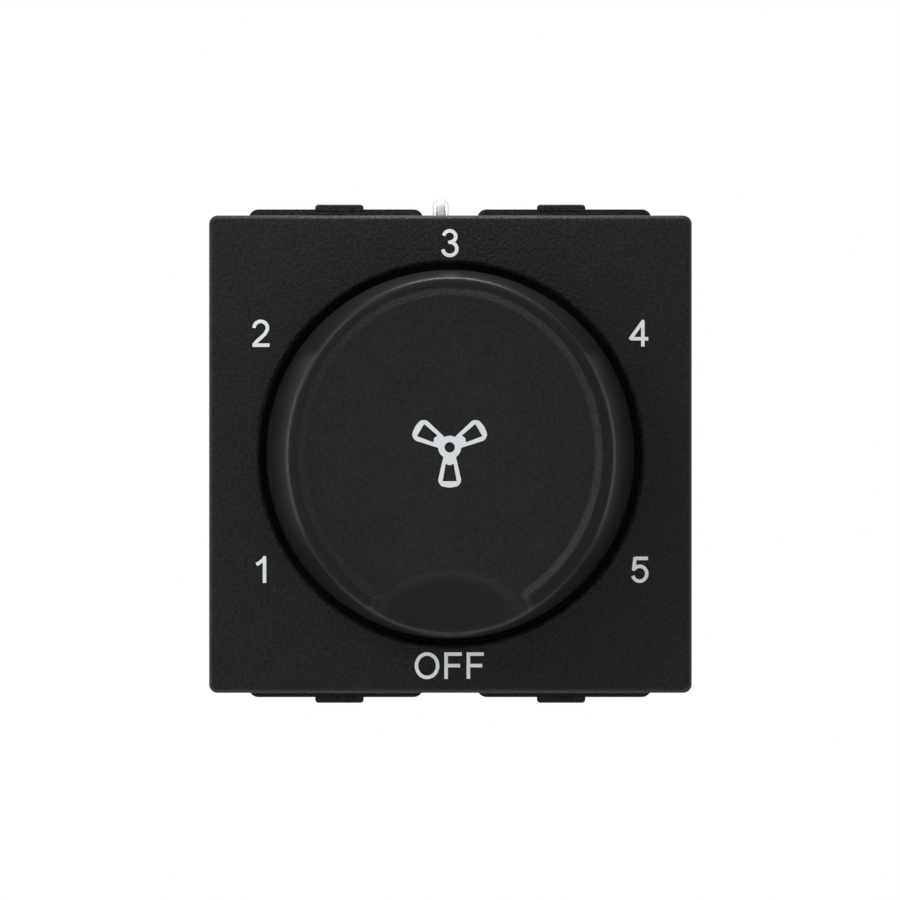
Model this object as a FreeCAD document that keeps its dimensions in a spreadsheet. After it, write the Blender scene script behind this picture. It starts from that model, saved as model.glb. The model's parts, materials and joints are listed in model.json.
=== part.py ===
import FreeCAD, Part

import os
import re

import Sketcher
from FreeCAD import Placement, Rotation, Vector

# Fan speed control switch, a 45 mm module for a modular wiring frame.
# X is to the right, Z is up and the front faces -Y. The origin lies on the dial's axis, in the
# plane where the ledges bear on the back of the frame's bar. A height is measured from that
# plane towards the viewer, a depth away from the viewer.

SIZES = {
    # Front plate and the well that the knob turns in
    "plate_width": 45.0,
    "plate_height": 44.5,
    "plate_corner": 0.8,
    "plate_edge_round": 0.42,
    "plate_front": 9.0,
    "plate_depth": 4.4,
    "panel_thick": 2.0,
    "plate_wall": 1.5,
    "well_margin": 4.5,
    "well_depth": 4.0,
    "well_wall": 1.3,
    "well_floor_thick": 1.2,
    "well_mouth_round": 0.45,
    "well_bore_gap": 0.6,
    # Latch legs that hold the plate on the housing
    "leg_inset": 5.95,
    "leg_width": 5.0,
    "leg_thick": 1.2,
    "leg_gap": 0.2,
    "leg_end": 1.5,
    "leg_nose": 1.1,
    "leg_catch": 0.9,
    "leg_window_gap": 0.1,
    # Rear housing
    "nest_gap": 0.1,
    "rim_wall": 1.2,
    "housing_step": 0.8,
    "housing_corner": 0.6,
    "housing_depth": 26.0,
    "rear_wall": 2.5,
    "post_width": 5.0,
    # Ledges that stop against the back of the frame's bar
    "ledge_step": 1.35,
    "ledge_thick": 1.6,
    "ledge_inner": 2.4,
    "ledge_side_gap": 2.75,
    "ledge_bevel": 0.3,
    "ledge_round": 0.9,
    # Snap tabs that catch the front of the frame's bar
    "bar_thick": 2.0,
    "bar_gap": 0.1,
    "tab_side_gap": 11.35,
    "tab_width": 4.6,
    "tab_slot": 0.4,
    "tab_thick": 1.3,
    "tab_rise": 0.45,
    "tab_nose": 1.36,
    "tab_taper": 0.08,
    "tab_bridge_gap": 0.1,
    "tab_corner": 0.3,
    "tab_ramp": 0.6,
    "tab_front_gap": 0.2,
    "tab_length": 13.3,
    "tab_root": 2.0,
    # Locating pin at the top
    "pin_radius": 0.775,
    "pin_offset": 0.87,
    "pin_depth": 3.0,
    "pin_proud": 2.28,
    "pin_fit": 0.02,
    "pin_end_round": 0.6,
    "pin_boss_radius": 1.8,
    "pin_boss_length": 2.55,
    "pin_floor": 0.3,
    # Knob
    "knob_gap": 0.55,
    "knob_floor_gap": 0.6,
    "knob_proud": 8.5,
    "skirt_below_front": 0.4,
    "rim_draft": 0.59,
    "rim_ovality": 1.32,
    "rim_round": 0.42,
    "dish_inset": 0.95,
    "dish_ovality": 1.55,
    "slope_width": 0.85,
    "face_recess": 0.45,
    "scoop_radius": 22.5,
    "scoop_outside": 2.59,
    "scoop_depth": 1.7,
    "flank_section": 30.0,
    "flank_sweep": 19.18,
    "flank_depth": 0.25,
    "knob_wall": 1.6,
    "knob_wall_growth": 0.8,
    "knob_ceiling": 3.15,
    "knob_boss_radius": 4.8,
    "knob_boss_start": 1.4,
    "knob_socket_floor": 0.9,
    "rib_thick": 1.2,
    "rib_depth": 2.9,
    "rib_count": 6,
    # Spindle
    "spindle_radius": 3.0,
    "spindle_flat": 1.8,
    "spindle_flat_length": 6.3,
    "spindle_end_gap": 0.1,
    "socket_gap": 0.05,
    "grip_gap": 0.05,
    "grip_thick": 0.4,
    "grip_width": 3.8,
    "grip_length": 5.6,
    "tail_radius": 1.5,
    "tail_fit": 0.02,
    "tail_end": 0.3,
    # Detent wheel and its stop arm
    "wheel_gap": 0.1,
    "arm_layer": 1.1,
    "notch_layer": 1.3,
    "arm_disc_radius": 7.0,
    "arm_reach": 11.0,
    "arm_width": 2.4,
    "notch_disc_radius": 8.5,
    "notch_radius": 1.0,
    "notch_circle": 8.7,
    "notch_count": 6,
    # Detent spring
    "spring_layer_gap": 0.3,
    "spring_width": 0.9,
    "spring_thick": 0.3,
    "spring_half_span": 6.0,
    "spring_bump_half": 1.2,
    "spring_bump_drop": 0.85,
    "spring_clearance": 0.5,
    "spring_end_fit": 0.02,
    # Contacts
    "bridge_thick": 0.4,
    "bridge_disc_radius": 5.0,
    "bridge_width": 2.6,
    "bridge_overhang": 1.2,
    "tip_radius": 0.8,
    "tip_round": 0.4,
    "tip_gap": 0.2,
    "contact_circle": 9.0,
    "contact_radius": 1.3,
    "contact_thick": 0.5,
    "common_circle": 5.2,
    "common_width": 2.0,
    "tail_wire_radius": 0.4,
    "tail_wire_proud": 0.15,
    "lead_fit": 0.05,
    # Switch case and wafer
    "case_radius": 13.0,
    "case_wall": 1.4,
    "case_front_thick": 1.6,
    "case_front_gap": 0.3,
    "bush_radius": 4.4,
    "bush_step": 0.4,
    "bush_fit": 0.06,
    "lug_inner": 9.2,
    "lug_sink": 1.0,
    "lug_short": 0.1,
    "lug_half_angle": 21.8,
    "peg_radius": 0.6,
    "peg_count": 3,
    "peg_proud": 0.2,
    "wafer_thick": 1.5,
    "wafer_gap": 0.2,
    "wafer_board_gap": 0.1,
    "wafer_bore_gap": 0.2,
    "ring_gap": 0.2,
    "ring_thick": 0.5,
    "ring_radius": 2.6,
    "ring_groove": 0.4,
    "ring_side_gap": 0.02,
    # Circuit board and its screws
    "board_depth": 6.5,
    "board_thick": 1.6,
    "board_gap": 0.4,
    "board_bore": 4.0,
    "board_screw_radius": 1.2,
    "board_screw_head": 2.4,
    "board_screw_head_thick": 1.3,
    "board_screw_length": 6.5,
    "board_screw_point": 0.6,
    "board_screw_tip": 0.4,
    "screw_hole_gap": 0.1,
    "screw_thread_fit": 0.02,
    "cross_slot": 0.6,
    "cross_slot_reach": 1.45,
    "cross_slot_depth": 0.8,
    # Capacitors and bleed resistors
    "capacitor_standoff": 0.4,
    "capacitor_side_gap": 2.4,
    "capacitor_back_gap": 0.4,
    "capacitor_lead_inset": 1.2,
    "capacitor_round": 1.0,
    "small_share": 0.44,
    "small_shorter": 1.6,
    "small_gap": 1.0,
    "large_gap": 1.5,
    "large_top_gap": 0.95,
    "resistor_side_gap": 1.3,
    "resistor_radius": 1.9,
    "resistor_waist": 1.6,
    "resistor_length": 10.0,
    "resistor_cap": 2.2,
    "resistor_step": 0.4,
    "resistor_round": 0.45,
    "resistor_lead_reach": 0.9,
    # Terminal block
    "block_width": 19.6,
    "block_gap": 0.25,
    "block_height": 13.7,
    "block_window_gap": 0.15,
    "terminal_offset": 5.0,
    "chamber_width": 7.0,
    "chamber_depth": 10.1,
    "wire_radius": 1.7,
    "bar_tongue_width": 4.4,
    "bar_tongue_thick": 1.0,
    "bar_tongue_nut_gap": 0.5,
    "bar_tongue_board_gap": 0.5,
    "bar_tongue_end_gap": 0.2,
    "bar_pin_width": 1.2,
    "bar_pin_thick": 0.8,
    "bar_pin_gap": 0.08,
    # Rising cages and their screws
    "cage_side_gap": 0.15,
    "cage_end_gap": 0.7,
    "cage_length": 7.0,
    "cage_height": 7.4,
    "cage_top_gap": 0.2,
    "screw_side_gap": 0.2,
    "cage_side_wall": 0.9,
    "cage_top_wall": 0.9,
    "cage_nut": 2.0,
    "cage_travel": 1.8,
    "cage_bottom_gap": 0.1,
    "screw_radius": 1.5,
    "screw_fit": 0.05,
    "screw_head_radius": 2.7,
    "screw_head_thick": 2.0,
    "screw_head_gap": 0.1,
    "screw_shoulder": 0.6,
    "screw_head_clearance": 0.4,
    "screw_tongue_gap": 0.2,
    "screw_slot": 0.8,
    "screw_slot_overrun": 0.3,
    "screw_slot_depth": 0.9,
    "driver_radius": 2.2,
    "counterbore_depth": 0.55,
}

# Heights of the shared planes
PLATE_REAR = "(plate_front-plate_depth)"
PANEL_BACK = "(plate_front-panel_thick)"
WELL_FLOOR = "(plate_front-well_depth)"
WELL_BACK = f"({WELL_FLOOR}-well_floor_thick)"
KNOB_BOTTOM = f"({WELL_FLOOR}+knob_floor_gap)"
SKIRT_TOP = "(plate_front-skirt_below_front)"
KNOB_RIM = "(plate_front+knob_proud)"
KNOB_FLOOR = f"({KNOB_RIM}-face_recess)"
KNOB_CEILING = f"({KNOB_FLOOR}-knob_ceiling)"
SOCKET_FLOOR = f"({KNOB_CEILING}-knob_socket_floor)"
BOSS_BOTTOM = f"({KNOB_BOTTOM}+knob_boss_start)"
SPINDLE_TOP = f"({SOCKET_FLOOR}-spindle_end_gap)"
CASE_FRONT = f"({WELL_BACK}-case_front_gap)"
CASE_INNER_FRONT = f"({CASE_FRONT}-case_front_thick)"
WHEEL_FRONT = f"({CASE_INNER_FRONT}-bush_step-wheel_gap)"
NOTCH_LAYER_FRONT = f"({WHEEL_FRONT}-arm_layer)"
SHOULDER = f"({PLATE_REAR}-nest_gap)"
HOUSING_RIM = f"({PANEL_BACK}-nest_gap)"
TAB_FRONT = f"({SHOULDER}-tab_front_gap)"

# Depths of the shared planes
BOARD_BACK = "(board_depth+board_thick)"
WHEEL_BACK = f"(arm_layer+notch_layer-{WHEEL_FRONT})"
WAFER_BACK = "(board_depth-wafer_board_gap)"
WAFER_FRONT = f"({WAFER_BACK}-wafer_thick)"
CONTACT_FRONT = f"({WAFER_FRONT}-contact_thick)"
RING_FRONT = f"({WAFER_BACK}+ring_gap)"
CHAMBER_END = f"({BOARD_BACK}+chamber_depth)"
CAGE_BACK = f"({CHAMBER_END}-cage_end_gap)"
SCREW_DEPTH = f"({CAGE_BACK}-cage_length/2)"

# Half widths and half heights of the plate's and the housing's rectangles
NEST_X = "(plate_width/2-plate_wall-nest_gap)"
NEST_Z = "(plate_height/2-plate_wall-nest_gap)"
CAVITY_X = f"({NEST_X}-rim_wall)"
CAVITY_Z = f"({NEST_Z}-rim_wall)"
HOUSING_X = f"({NEST_X}+housing_step)"
HOUSING_Z = f"({NEST_Z}+housing_step)"
HOUSING_WALL = "(rim_wall+housing_step)"
LEG_OUTER = f"({CAVITY_X}-leg_gap)"
LEG_OFFSET = f"({CAVITY_Z}-leg_inset)"
TAB_OFFSET = f"({HOUSING_X}-tab_side_gap)"
POST_X = f"({CAVITY_X}-post_width/2)"
POST_Z = f"({CAVITY_Z}-post_width/2)"

# Sizes of the well and the knob
WELL_RADIUS = "(min(plate_width;plate_height)/2-well_margin)"
SKIRT_RADIUS = f"({WELL_RADIUS}-knob_gap)"
RIM_HALF_HEIGHT = f"({SKIRT_RADIUS}-rim_draft)"
RIM_HALF_WIDTH = f"({RIM_HALF_HEIGHT}-rim_ovality)"
DISH_HALF_HEIGHT = f"({RIM_HALF_HEIGHT}-dish_inset)"
FLOOR_HALF_HEIGHT = f"({DISH_HALF_HEIGHT}-slope_width)"

# Levels in the terminal block, as distances below the dial's axis
BLOCK_BOTTOM = f"({CAVITY_Z}-block_gap)"
BLOCK_TOP = f"({BLOCK_BOTTOM}-block_height)"
HEAD_BOTTOM = f"({CAVITY_Z}+counterbore_depth-screw_head_clearance)"
HEAD_TOP = f"({HEAD_BOTTOM}-screw_head_thick)"
HEAD_SEAT = f"({HEAD_TOP}-screw_head_gap)"
CHAMBER_BOTTOM = f"({HEAD_SEAT}-screw_shoulder)"
CAGE_BOTTOM = f"({CHAMBER_BOTTOM}-cage_bottom_gap-cage_travel)"
CAGE_TOP = f"({CAGE_BOTTOM}-cage_height)"
CHAMBER_TOP = f"({CAGE_TOP}-cage_top_gap)"
NUT_TOP = f"({CAGE_BOTTOM}-cage_nut)"
TONGUE_BOTTOM = f"({NUT_TOP}-bar_tongue_nut_gap)"
TONGUE_TOP = f"({TONGUE_BOTTOM}-bar_tongue_thick)"
TONGUE_CENTRE = f"({TONGUE_BOTTOM}-bar_tongue_thick/2)"
SCREW_END = f"({TONGUE_BOTTOM}+screw_tongue_gap)"
WIRE_CENTRE = f"(({TONGUE_TOP}+{CAGE_TOP}+cage_top_wall)/2)"

# The capacitors share the height above the terminal block, and stand between the resistors
STACK_HEIGHT = f"({CAVITY_Z}+{BLOCK_TOP}-small_gap-large_gap-large_top_gap)"
SMALL_HEIGHT = f"({STACK_HEIGHT}*small_share)"
LARGE_HEIGHT = f"({STACK_HEIGHT}-{SMALL_HEIGHT})"
SMALL_CENTRE = f"(small_gap+{SMALL_HEIGHT}/2-{BLOCK_TOP})"
LARGE_CENTRE = f"({CAVITY_Z}-large_top_gap-{LARGE_HEIGHT}/2)"
LARGE_DEPTH = f"(housing_depth-rear_wall-{BOARD_BACK}-capacitor_standoff-capacitor_back_gap)"
RESISTOR_OFFSET = f"({CAVITY_X}-resistor_side_gap-resistor_radius)"
CAPACITOR_HALF = f"({RESISTOR_OFFSET}-resistor_radius-capacitor_side_gap)"
CAPACITOR_LEAD = f"({CAPACITOR_HALF}-capacitor_lead_inset)"
RESISTOR_LEAD = "(resistor_length/2+resistor_lead_reach)"

BOARD_SCREW_CORNERS = ((1, -1), (-1, 1))
SPEEDS = (1, 2, 3, 4, 5)

CELLS = {name: f"Sizes.{name}" for name in SIZES}

doc = FreeCAD.newDocument("fan_speed_switch")
sheet = doc.addObject("Spreadsheet::Sheet", "Sizes")


def formula(text):
    """The text with each size's name turned into its cell."""
    return re.sub(r"[a-z_]+", lambda word: CELLS.get(word.group(), word.group()), str(text))


def number(text):
    """The present value of a formula, in millimetres."""
    return float(sheet.evalExpression(formula(text)))


def fill_sheet():
    """One row for each driving size."""
    for row, (name, value) in enumerate(SIZES.items(), start=1):
        sheet.set(f"A{row}", name)
        sheet.set(f"B{row}", str(value))
        sheet.setAlias(f"B{row}", name)
    doc.recompute()


def new_body(name, x="0", y="0", z="0"):
    """A body that lies at the place (x, y, z)."""
    body = doc.addObject("PartDesign::Body", name)
    body.Label = name
    place(body, x, y, z)
    return body


def place(piece, x, y, z):
    """Bind a piece's place to the sheet."""
    for axis, text in zip("xyz", (x, y, z)):
        piece.setExpression(f"Placement.Base.{axis}", formula(text))


def origin_part(body, role):
    """One of the planes or axes of the body's own origin."""
    return next(item for item in body.Origin.OriginFeatures if item.Role == role)


def sketch_on(body, name, plane="XZ_Plane", offset="0"):
    """A sketch on an origin plane, moved along its normal: -Y, +Z or +X."""
    sketch = body.newObject("Sketcher::SketchObject", name)
    sketch.AttachmentSupport = [(origin_part(body, plane), "")]
    sketch.MapMode = "FlatFace"
    sketch.setExpression(".AttachmentOffset.Base.z", formula(offset))
    return sketch


def bind(sketch, kind, *parts, value):
    """A sized constraint whose value comes from the sheet."""
    index = sketch.addConstraint(Sketcher.Constraint(kind, *parts, number(value)))
    sketch.setExpression(f"Constraints[{index}]", formula(value))


def pin_point(sketch, item, end, x, y):
    """Hold a point of an item at (x, y) from the sketch's origin."""
    bind(sketch, "DistanceX", -1, 1, item, end, value=x)
    bind(sketch, "DistanceY", -1, 1, item, end, value=y)


def circle(sketch, radius, x="0", y="0"):
    """A circle about the point (x, y)."""
    centre = Vector(number(x), number(y), 0)
    item = sketch.addGeometry(Part.Circle(centre, Vector(0, 0, 1), number(radius)))
    pin_point(sketch, item, 3, x, y)
    bind(sketch, "Radius", item, value=radius)


def ellipse(sketch, half_width, half_height):
    """An upright ellipse about the origin; its half height is the larger."""
    wide = number(half_width)
    tall = number(half_height)
    shape = Part.Ellipse(Vector(0, tall, 0), Vector(wide, 0, 0), Vector(0, 0, 0))
    item = sketch.addGeometry(shape)
    sketch.exposeInternalGeometry(item)
    sketch.addConstraint(Sketcher.Constraint("Coincident", item, 3, -1, 1))
    sketch.addConstraint(Sketcher.Constraint("Vertical", item + 1))
    bind(sketch, "Distance", item + 1, value=f"2*{half_height}")
    bind(sketch, "Distance", item + 2, value=f"2*{half_width}")


def polygon(sketch, corners):
    """A closed outline of straight lines through the corners."""
    points = [Vector(number(x), number(y), 0) for x, y in corners]
    lines = []
    for start, end in zip(points, points[1:] + points[:1]):
        lines.append(sketch.addGeometry(Part.LineSegment(start, end)))
    for line, following in zip(lines, lines[1:] + lines[:1]):
        sketch.addConstraint(Sketcher.Constraint("Coincident", line, 2, following, 1))
    for line, (x, y) in zip(lines, corners):
        pin_point(sketch, line, 1, x, y)


def box_outline(sketch, left, right, bottom, top):
    """A rectangle between two pairs of limits."""
    polygon(sketch, ((left, bottom), (right, bottom), (right, top), (left, top)))


def centred_outline(sketch, half_width, half_height, x="0", y="0"):
    """A rectangle about the point (x, y)."""
    left = f"{x}-{half_width}"
    right = f"{x}+{half_width}"
    box_outline(sketch, left, right, f"{y}-{half_height}", f"{y}+{half_height}")


def flatted_circle(sketch, radius, flat):
    """A circle cut off by a level line above its centre."""
    reach = number(radius)
    rise = number(flat)
    half = (reach**2 - rise**2) ** 0.5
    left = Vector(-half, rise, 0)
    right = Vector(half, rise, 0)
    arc = sketch.addGeometry(Part.Arc(left, Vector(0, -reach, 0), right))
    line = sketch.addGeometry(Part.LineSegment(right, left))
    sketch.addConstraint(Sketcher.Constraint("Coincident", arc, 3, -1, 1))
    sketch.addConstraint(Sketcher.Constraint("Coincident", arc, 2, line, 1))
    sketch.addConstraint(Sketcher.Constraint("Coincident", line, 2, arc, 1))
    sketch.addConstraint(Sketcher.Constraint("Horizontal", line))
    bind(sketch, "Radius", arc, value=radius)
    bind(sketch, "DistanceY", -1, 1, line, 1, value=flat)


def extrusion(body, kind, sketch, length, reverse, centred=False):
    """A pad or a pocket of a sketch."""
    feature = body.newObject(f"PartDesign::{kind}", f"{kind}_{sketch.Name}")
    feature.Profile = sketch
    feature.Reversed = reverse
    feature.Midplane = centred
    feature.setExpression("Length", formula(length))
    doc.recompute()
    return feature


def pad_back(body, sketch, length):
    """Material from an upright sketch away from the viewer."""
    return extrusion(body, "Pad", sketch, length, reverse=True)


def pad_front(body, sketch, length):
    """Material from an upright sketch towards the viewer."""
    return extrusion(body, "Pad", sketch, length, reverse=False)


def cut_back(body, sketch, length):
    """A pocket from an upright sketch away from the viewer."""
    return extrusion(body, "Pocket", sketch, length, reverse=False)


def cut_front(body, sketch, length):
    """A pocket from an upright sketch towards the viewer."""
    return extrusion(body, "Pocket", sketch, length, reverse=True)


def turned(body, sketch, cut=False):
    """A full turn of a sketch about its own upright axis."""
    kind = "Groove" if cut else "Revolution"
    feature = body.newObject(f"PartDesign::{kind}", f"{kind}_{sketch.Name}")
    feature.Profile = sketch
    feature.ReferenceAxis = (sketch, ["V_Axis"])
    feature.Angle = 360
    doc.recompute()
    return feature


def loft(body, first, last, cut=False):
    """A loft between two sketches."""
    kind = "SubtractiveLoft" if cut else "AdditiveLoft"
    feature = body.newObject(f"PartDesign::{kind}", f"{kind}_{first.Name}")
    feature.Profile = first
    feature.Sections = [last]
    doc.recompute()
    return feature


def ring_of(body, feature, count, axis="Y_Axis"):
    """The feature repeated in a full circle."""
    pattern = body.newObject("PartDesign::PolarPattern", f"Ring_{feature.Name}")
    pattern.Originals = [feature]
    pattern.Axis = (origin_part(body, axis), [""])
    pattern.Angle = 360
    pattern.setExpression("Occurrences", formula(count))
    body.Tip = pattern
    doc.recompute()
    return pattern


def edges_where(feature, test):
    """Names of the feature's edges whose bounding box passes the test."""
    found = []
    for index, edge in enumerate(feature.Shape.Edges, start=1):
        if test(edge.BoundBox):
            found.append(f"Edge{index}")
    return found


def same(first, second):
    """Are two lengths equal, to a micrometre?"""
    return abs(first - second) < 0.001


def along(axis):
    """A test for straight edges along an axis."""
    others = [name for name in "XYZ" if name != axis]

    def test(box):
        thin = all(same(getattr(box, f"{name}Length"), 0) for name in others)
        return thin and getattr(box, f"{axis}Length") > 0.001

    return test


def at_level(axis, level):
    """A test for edges that lie in a plane across an axis."""

    def test(box):
        low = getattr(box, f"{axis}Min")
        high = getattr(box, f"{axis}Max")
        return same(low, level) and same(high, level)

    return test


def rounded(body, feature, test, radius):
    """A round on every edge that passes the test."""
    fillet = body.newObject("PartDesign::Fillet", f"Round_{feature.Name}")
    fillet.Base = (feature, edges_where(feature, test))
    fillet.setExpression("Radius", formula(radius))
    doc.recompute()
    return fillet


def front_plate():
    """Square plate with its skirt, the knob's well and the four latch legs."""
    body = new_body("front_plate")
    face = sketch_on(body, "plate_face", offset="plate_front")
    centred_outline(face, "plate_width/2", "plate_height/2")
    block = pad_back(body, face, "plate_depth")
    block = rounded(body, block, along("Y"), "plate_corner")
    front = at_level("Y", -number("plate_front"))
    rounded(body, block, front, "plate_edge_round")

    inside = sketch_on(body, "skirt_inside", offset=PLATE_REAR)
    centred_outline(inside, "(plate_width/2-plate_wall)", "(plate_height/2-plate_wall)")
    cut_front(body, inside, "plate_depth-panel_thick")
    well_wall = sketch_on(body, "well_wall", offset=PANEL_BACK)
    circle(well_wall, f"{WELL_RADIUS}+well_wall")
    pad_back(body, well_wall, f"{PANEL_BACK}-{WELL_BACK}")
    well = sketch_on(body, "well", offset="plate_front")
    circle(well, WELL_RADIUS)
    well_cut = cut_back(body, well, "well_depth")
    mouth = number(WELL_RADIUS)

    def is_mouth(box):
        return front(box) and same(box.XMax, mouth)

    rounded(body, well_cut, is_mouth, "well_mouth_round")
    bore = sketch_on(body, "well_bore", offset=WELL_FLOOR)
    circle(bore, "spindle_radius+well_bore_gap")
    cut_back(body, bore, "well_floor_thick")

    legs = sketch_on(body, "latch_legs", offset=PANEL_BACK)
    for side in (1, -1):
        for level in (1, -1):
            across = f"{side}*({LEG_OUTER}-leg_thick/2)"
            centred_outline(legs, "leg_thick/2", "leg_width/2", across, f"{level}*{LEG_OFFSET}")
    pad_back(body, legs, f"{PANEL_BACK}+leg_end")
    for level in (1, -1):
        noses = sketch_on(body, "latch_noses", "XY_Plane", f"{level}*{LEG_OFFSET}")
        for side in (1, -1):
            foot = f"{side}*({LEG_OUTER}-leg_thick/2)"
            tip = f"{side}*({LEG_OUTER}+leg_nose)"
            polygon(noses, ((foot, "-leg_catch"), (tip, "-leg_catch"), (foot, "leg_end")))
        extrusion(body, "Pad", noses, "leg_width", reverse=False, centred=True)
    return body


def rear_housing():
    """Moulded box with the ledges, the snap tabs, the pin's boss and the board's posts."""
    body = new_body("rear_housing")
    outer = sketch_on(body, "housing_outer", offset=SHOULDER)
    centred_outline(outer, HOUSING_X, HOUSING_Z)
    block = pad_back(body, outer, f"{SHOULDER}+housing_depth")
    rounded(body, block, along("Y"), "housing_corner")
    rim = sketch_on(body, "nested_rim", offset=SHOULDER)
    centred_outline(rim, NEST_X, NEST_Z)
    pad_front(body, rim, f"{HOUSING_RIM}-{SHOULDER}")
    ledges = sketch_on(body, "ledges")
    for side in (1, -1):
        for level in (1, -1):
            inner = f"{side}*ledge_inner"
            outer = f"{side}*({HOUSING_X}-ledge_side_gap)"
            foot = f"{level}*{HOUSING_Z}"
            top = f"{level}*({HOUSING_Z}+ledge_step)"
            polygon(ledges, (
                (inner, foot),
                (outer, foot),
                (f"{outer}-{side}*ledge_bevel", top),
                (f"{inner}+{side}*ledge_bevel", top),
            ))
    pad = pad_back(body, ledges, "ledge_thick")
    reach = number(f"{HOUSING_Z}+ledge_step")

    def is_ledge_end(box):
        return along("Y")(box) and same(max(abs(box.ZMin), abs(box.ZMax)), reach)

    rounded(body, pad, is_ledge_end, "ledge_round")
    cavity = sketch_on(body, "cavity", offset=HOUSING_RIM)
    centred_outline(cavity, CAVITY_X, CAVITY_Z)
    cut_back(body, cavity, f"{HOUSING_RIM}+housing_depth-rear_wall")
    posts = sketch_on(body, "board_posts", offset=f"-{BOARD_BACK}")
    for side in (1, -1):
        for level in (1, -1):
            reach = f"(post_width+{HOUSING_WALL}/2)/2"
            across = f"{side}*({CAVITY_X}+{HOUSING_WALL}/2-{reach})"
            upright = f"{level}*({CAVITY_Z}+{HOUSING_WALL}/2-{reach})"
            centred_outline(posts, reach, reach, across, upright)
    pad_back(body, posts, f"housing_depth-rear_wall-{BOARD_BACK}")
    add_snap_tabs(body)
    add_pin_boss(body)

    holes = sketch_on(body, "board_screw_holes", offset=f"-{BOARD_BACK}")
    for side, level in BOARD_SCREW_CORNERS:
        radius = "board_screw_radius+screw_thread_fit"
        circle(holes, radius, f"{side}*{POST_X}", f"{level}*{POST_Z}")
    cut_back(body, holes, "board_screw_length-board_thick+screw_hole_gap")
    windows = sketch_on(body, "latch_windows", "YZ_Plane", f"-{HOUSING_X}")
    for level in (1, -1):
        low = f"{level}*{LEG_OFFSET}-leg_width/2-leg_gap"
        high = f"{level}*{LEG_OFFSET}+leg_width/2+leg_gap"
        front = "-leg_catch-leg_window_gap"
        box_outline(windows, front, "leg_end+leg_window_gap", low, high)
    extrusion(body, "Pocket", windows, f"2*{HOUSING_X}", reverse=True)
    back = sketch_on(body, "terminal_window", offset="rear_wall-housing_depth")
    half = "(block_width/2+block_window_gap)"
    low = f"-{BLOCK_BOTTOM}-block_window_gap"
    box_outline(back, f"-{half}", half, low, f"-{BLOCK_TOP}+block_window_gap")
    cut_back(body, back, "rear_wall")
    driver = sketch_on(body, "driver_holes", "XY_Plane", f"-{HOUSING_Z}")
    wells = sketch_on(body, "screw_head_wells", "XY_Plane", f"-{CAVITY_Z}")
    for side in (1, -1):
        circle(driver, "driver_radius", f"{side}*terminal_offset", SCREW_DEPTH)
        head = "screw_head_radius+screw_side_gap"
        circle(wells, head, f"{side}*terminal_offset", SCREW_DEPTH)
    extrusion(body, "Pocket", driver, HOUSING_WALL, reverse=True)
    extrusion(body, "Pocket", wells, "counterbore_depth", reverse=False)
    return body


def add_snap_tabs(body):
    """Four tongues under the ledges, cut free from the walls, with a nose on each."""
    strip = f"({HOUSING_Z}+tab_rise)"
    slot_top = f"({strip}+tab_bridge_gap)"
    nose = f"({strip}+tab_nose)"
    free = f"(tab_length-{TAB_FRONT})"
    for level in (1, -1):
        slot = sketch_on(body, "tab_slots", "XY_Plane", f"{level}*{slot_top}")
        tongue = sketch_on(body, "tab_tongues", "XY_Plane", f"{level}*{strip}")
        for side in (1, -1):
            left = f"{side}*{TAB_OFFSET}-tab_width/2"
            right = f"{side}*{TAB_OFFSET}+tab_width/2"
            box_outline(slot, f"{left}-tab_slot", f"{right}+tab_slot", f"-{SHOULDER}", free)
            box_outline(tongue, left, right, f"-{TAB_FRONT}", f"{free}+tab_root")
        depth = f"{slot_top}-{CAVITY_Z}"
        extrusion(body, "Pocket", slot, depth, reverse=level < 0)
        extrusion(body, "Pad", tongue, "tab_thick", reverse=level > 0)
    noses = sketch_on(body, "tab_noses", offset=TAB_FRONT)
    for side in (1, -1):
        for level in (1, -1):
            left = f"{side}*{TAB_OFFSET}-tab_width/2"
            right = f"{side}*{TAB_OFFSET}+tab_width/2"
            foot = f"{level}*({strip}-tab_thick/2)"
            tip = f"{level}*{nose}"
            polygon(noses, (
                (left, foot),
                (right, foot),
                (f"{right}-tab_taper", tip),
                (f"{left}+tab_taper", tip),
            ))
    pad = pad_back(body, noses, f"{TAB_FRONT}-bar_thick-bar_gap")
    reach = number(nose)
    length = number(f"{TAB_FRONT}-bar_thick-bar_gap")

    def is_corner(box):
        lies_along = along("Y")(box) and same(box.YLength, length)
        return lies_along and same(max(abs(box.ZMin), abs(box.ZMax)), reach)

    rounded(body, pad, is_corner, "tab_corner")
    ramps = sketch_on(body, "tab_ramps", "YZ_Plane", f"-{TAB_OFFSET}-tab_width")
    for level in (1, -1):
        tip = f"{level}*{nose}"
        foot = f"{level}*({nose}-tab_ramp)"
        front = f"-{TAB_FRONT}"
        polygon(ramps, ((front, tip), (front, foot), (f"{front}+tab_ramp", tip)))
    extrusion(body, "Pocket", ramps, f"2*({TAB_OFFSET}+tab_width)", reverse=True)


def add_pin_boss(body):
    """Blind boss under the top wall that the locating pin is pushed in."""
    boss = sketch_on(body, "pin_boss", "XY_Plane", f"{CAVITY_Z}+{HOUSING_WALL}/2")
    circle(boss, "pin_boss_radius", "-pin_offset", "pin_depth")
    extrusion(body, "Pad", boss, f"pin_boss_length+{HOUSING_WALL}/2", reverse=True)
    hole = sketch_on(body, "pin_hole", "XY_Plane", HOUSING_Z)
    circle(hole, "pin_radius+pin_fit", "-pin_offset", "pin_depth")
    depth = f"{HOUSING_WALL}+pin_boss_length-pin_floor"
    extrusion(body, "Pocket", hole, depth, reverse=False)


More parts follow.
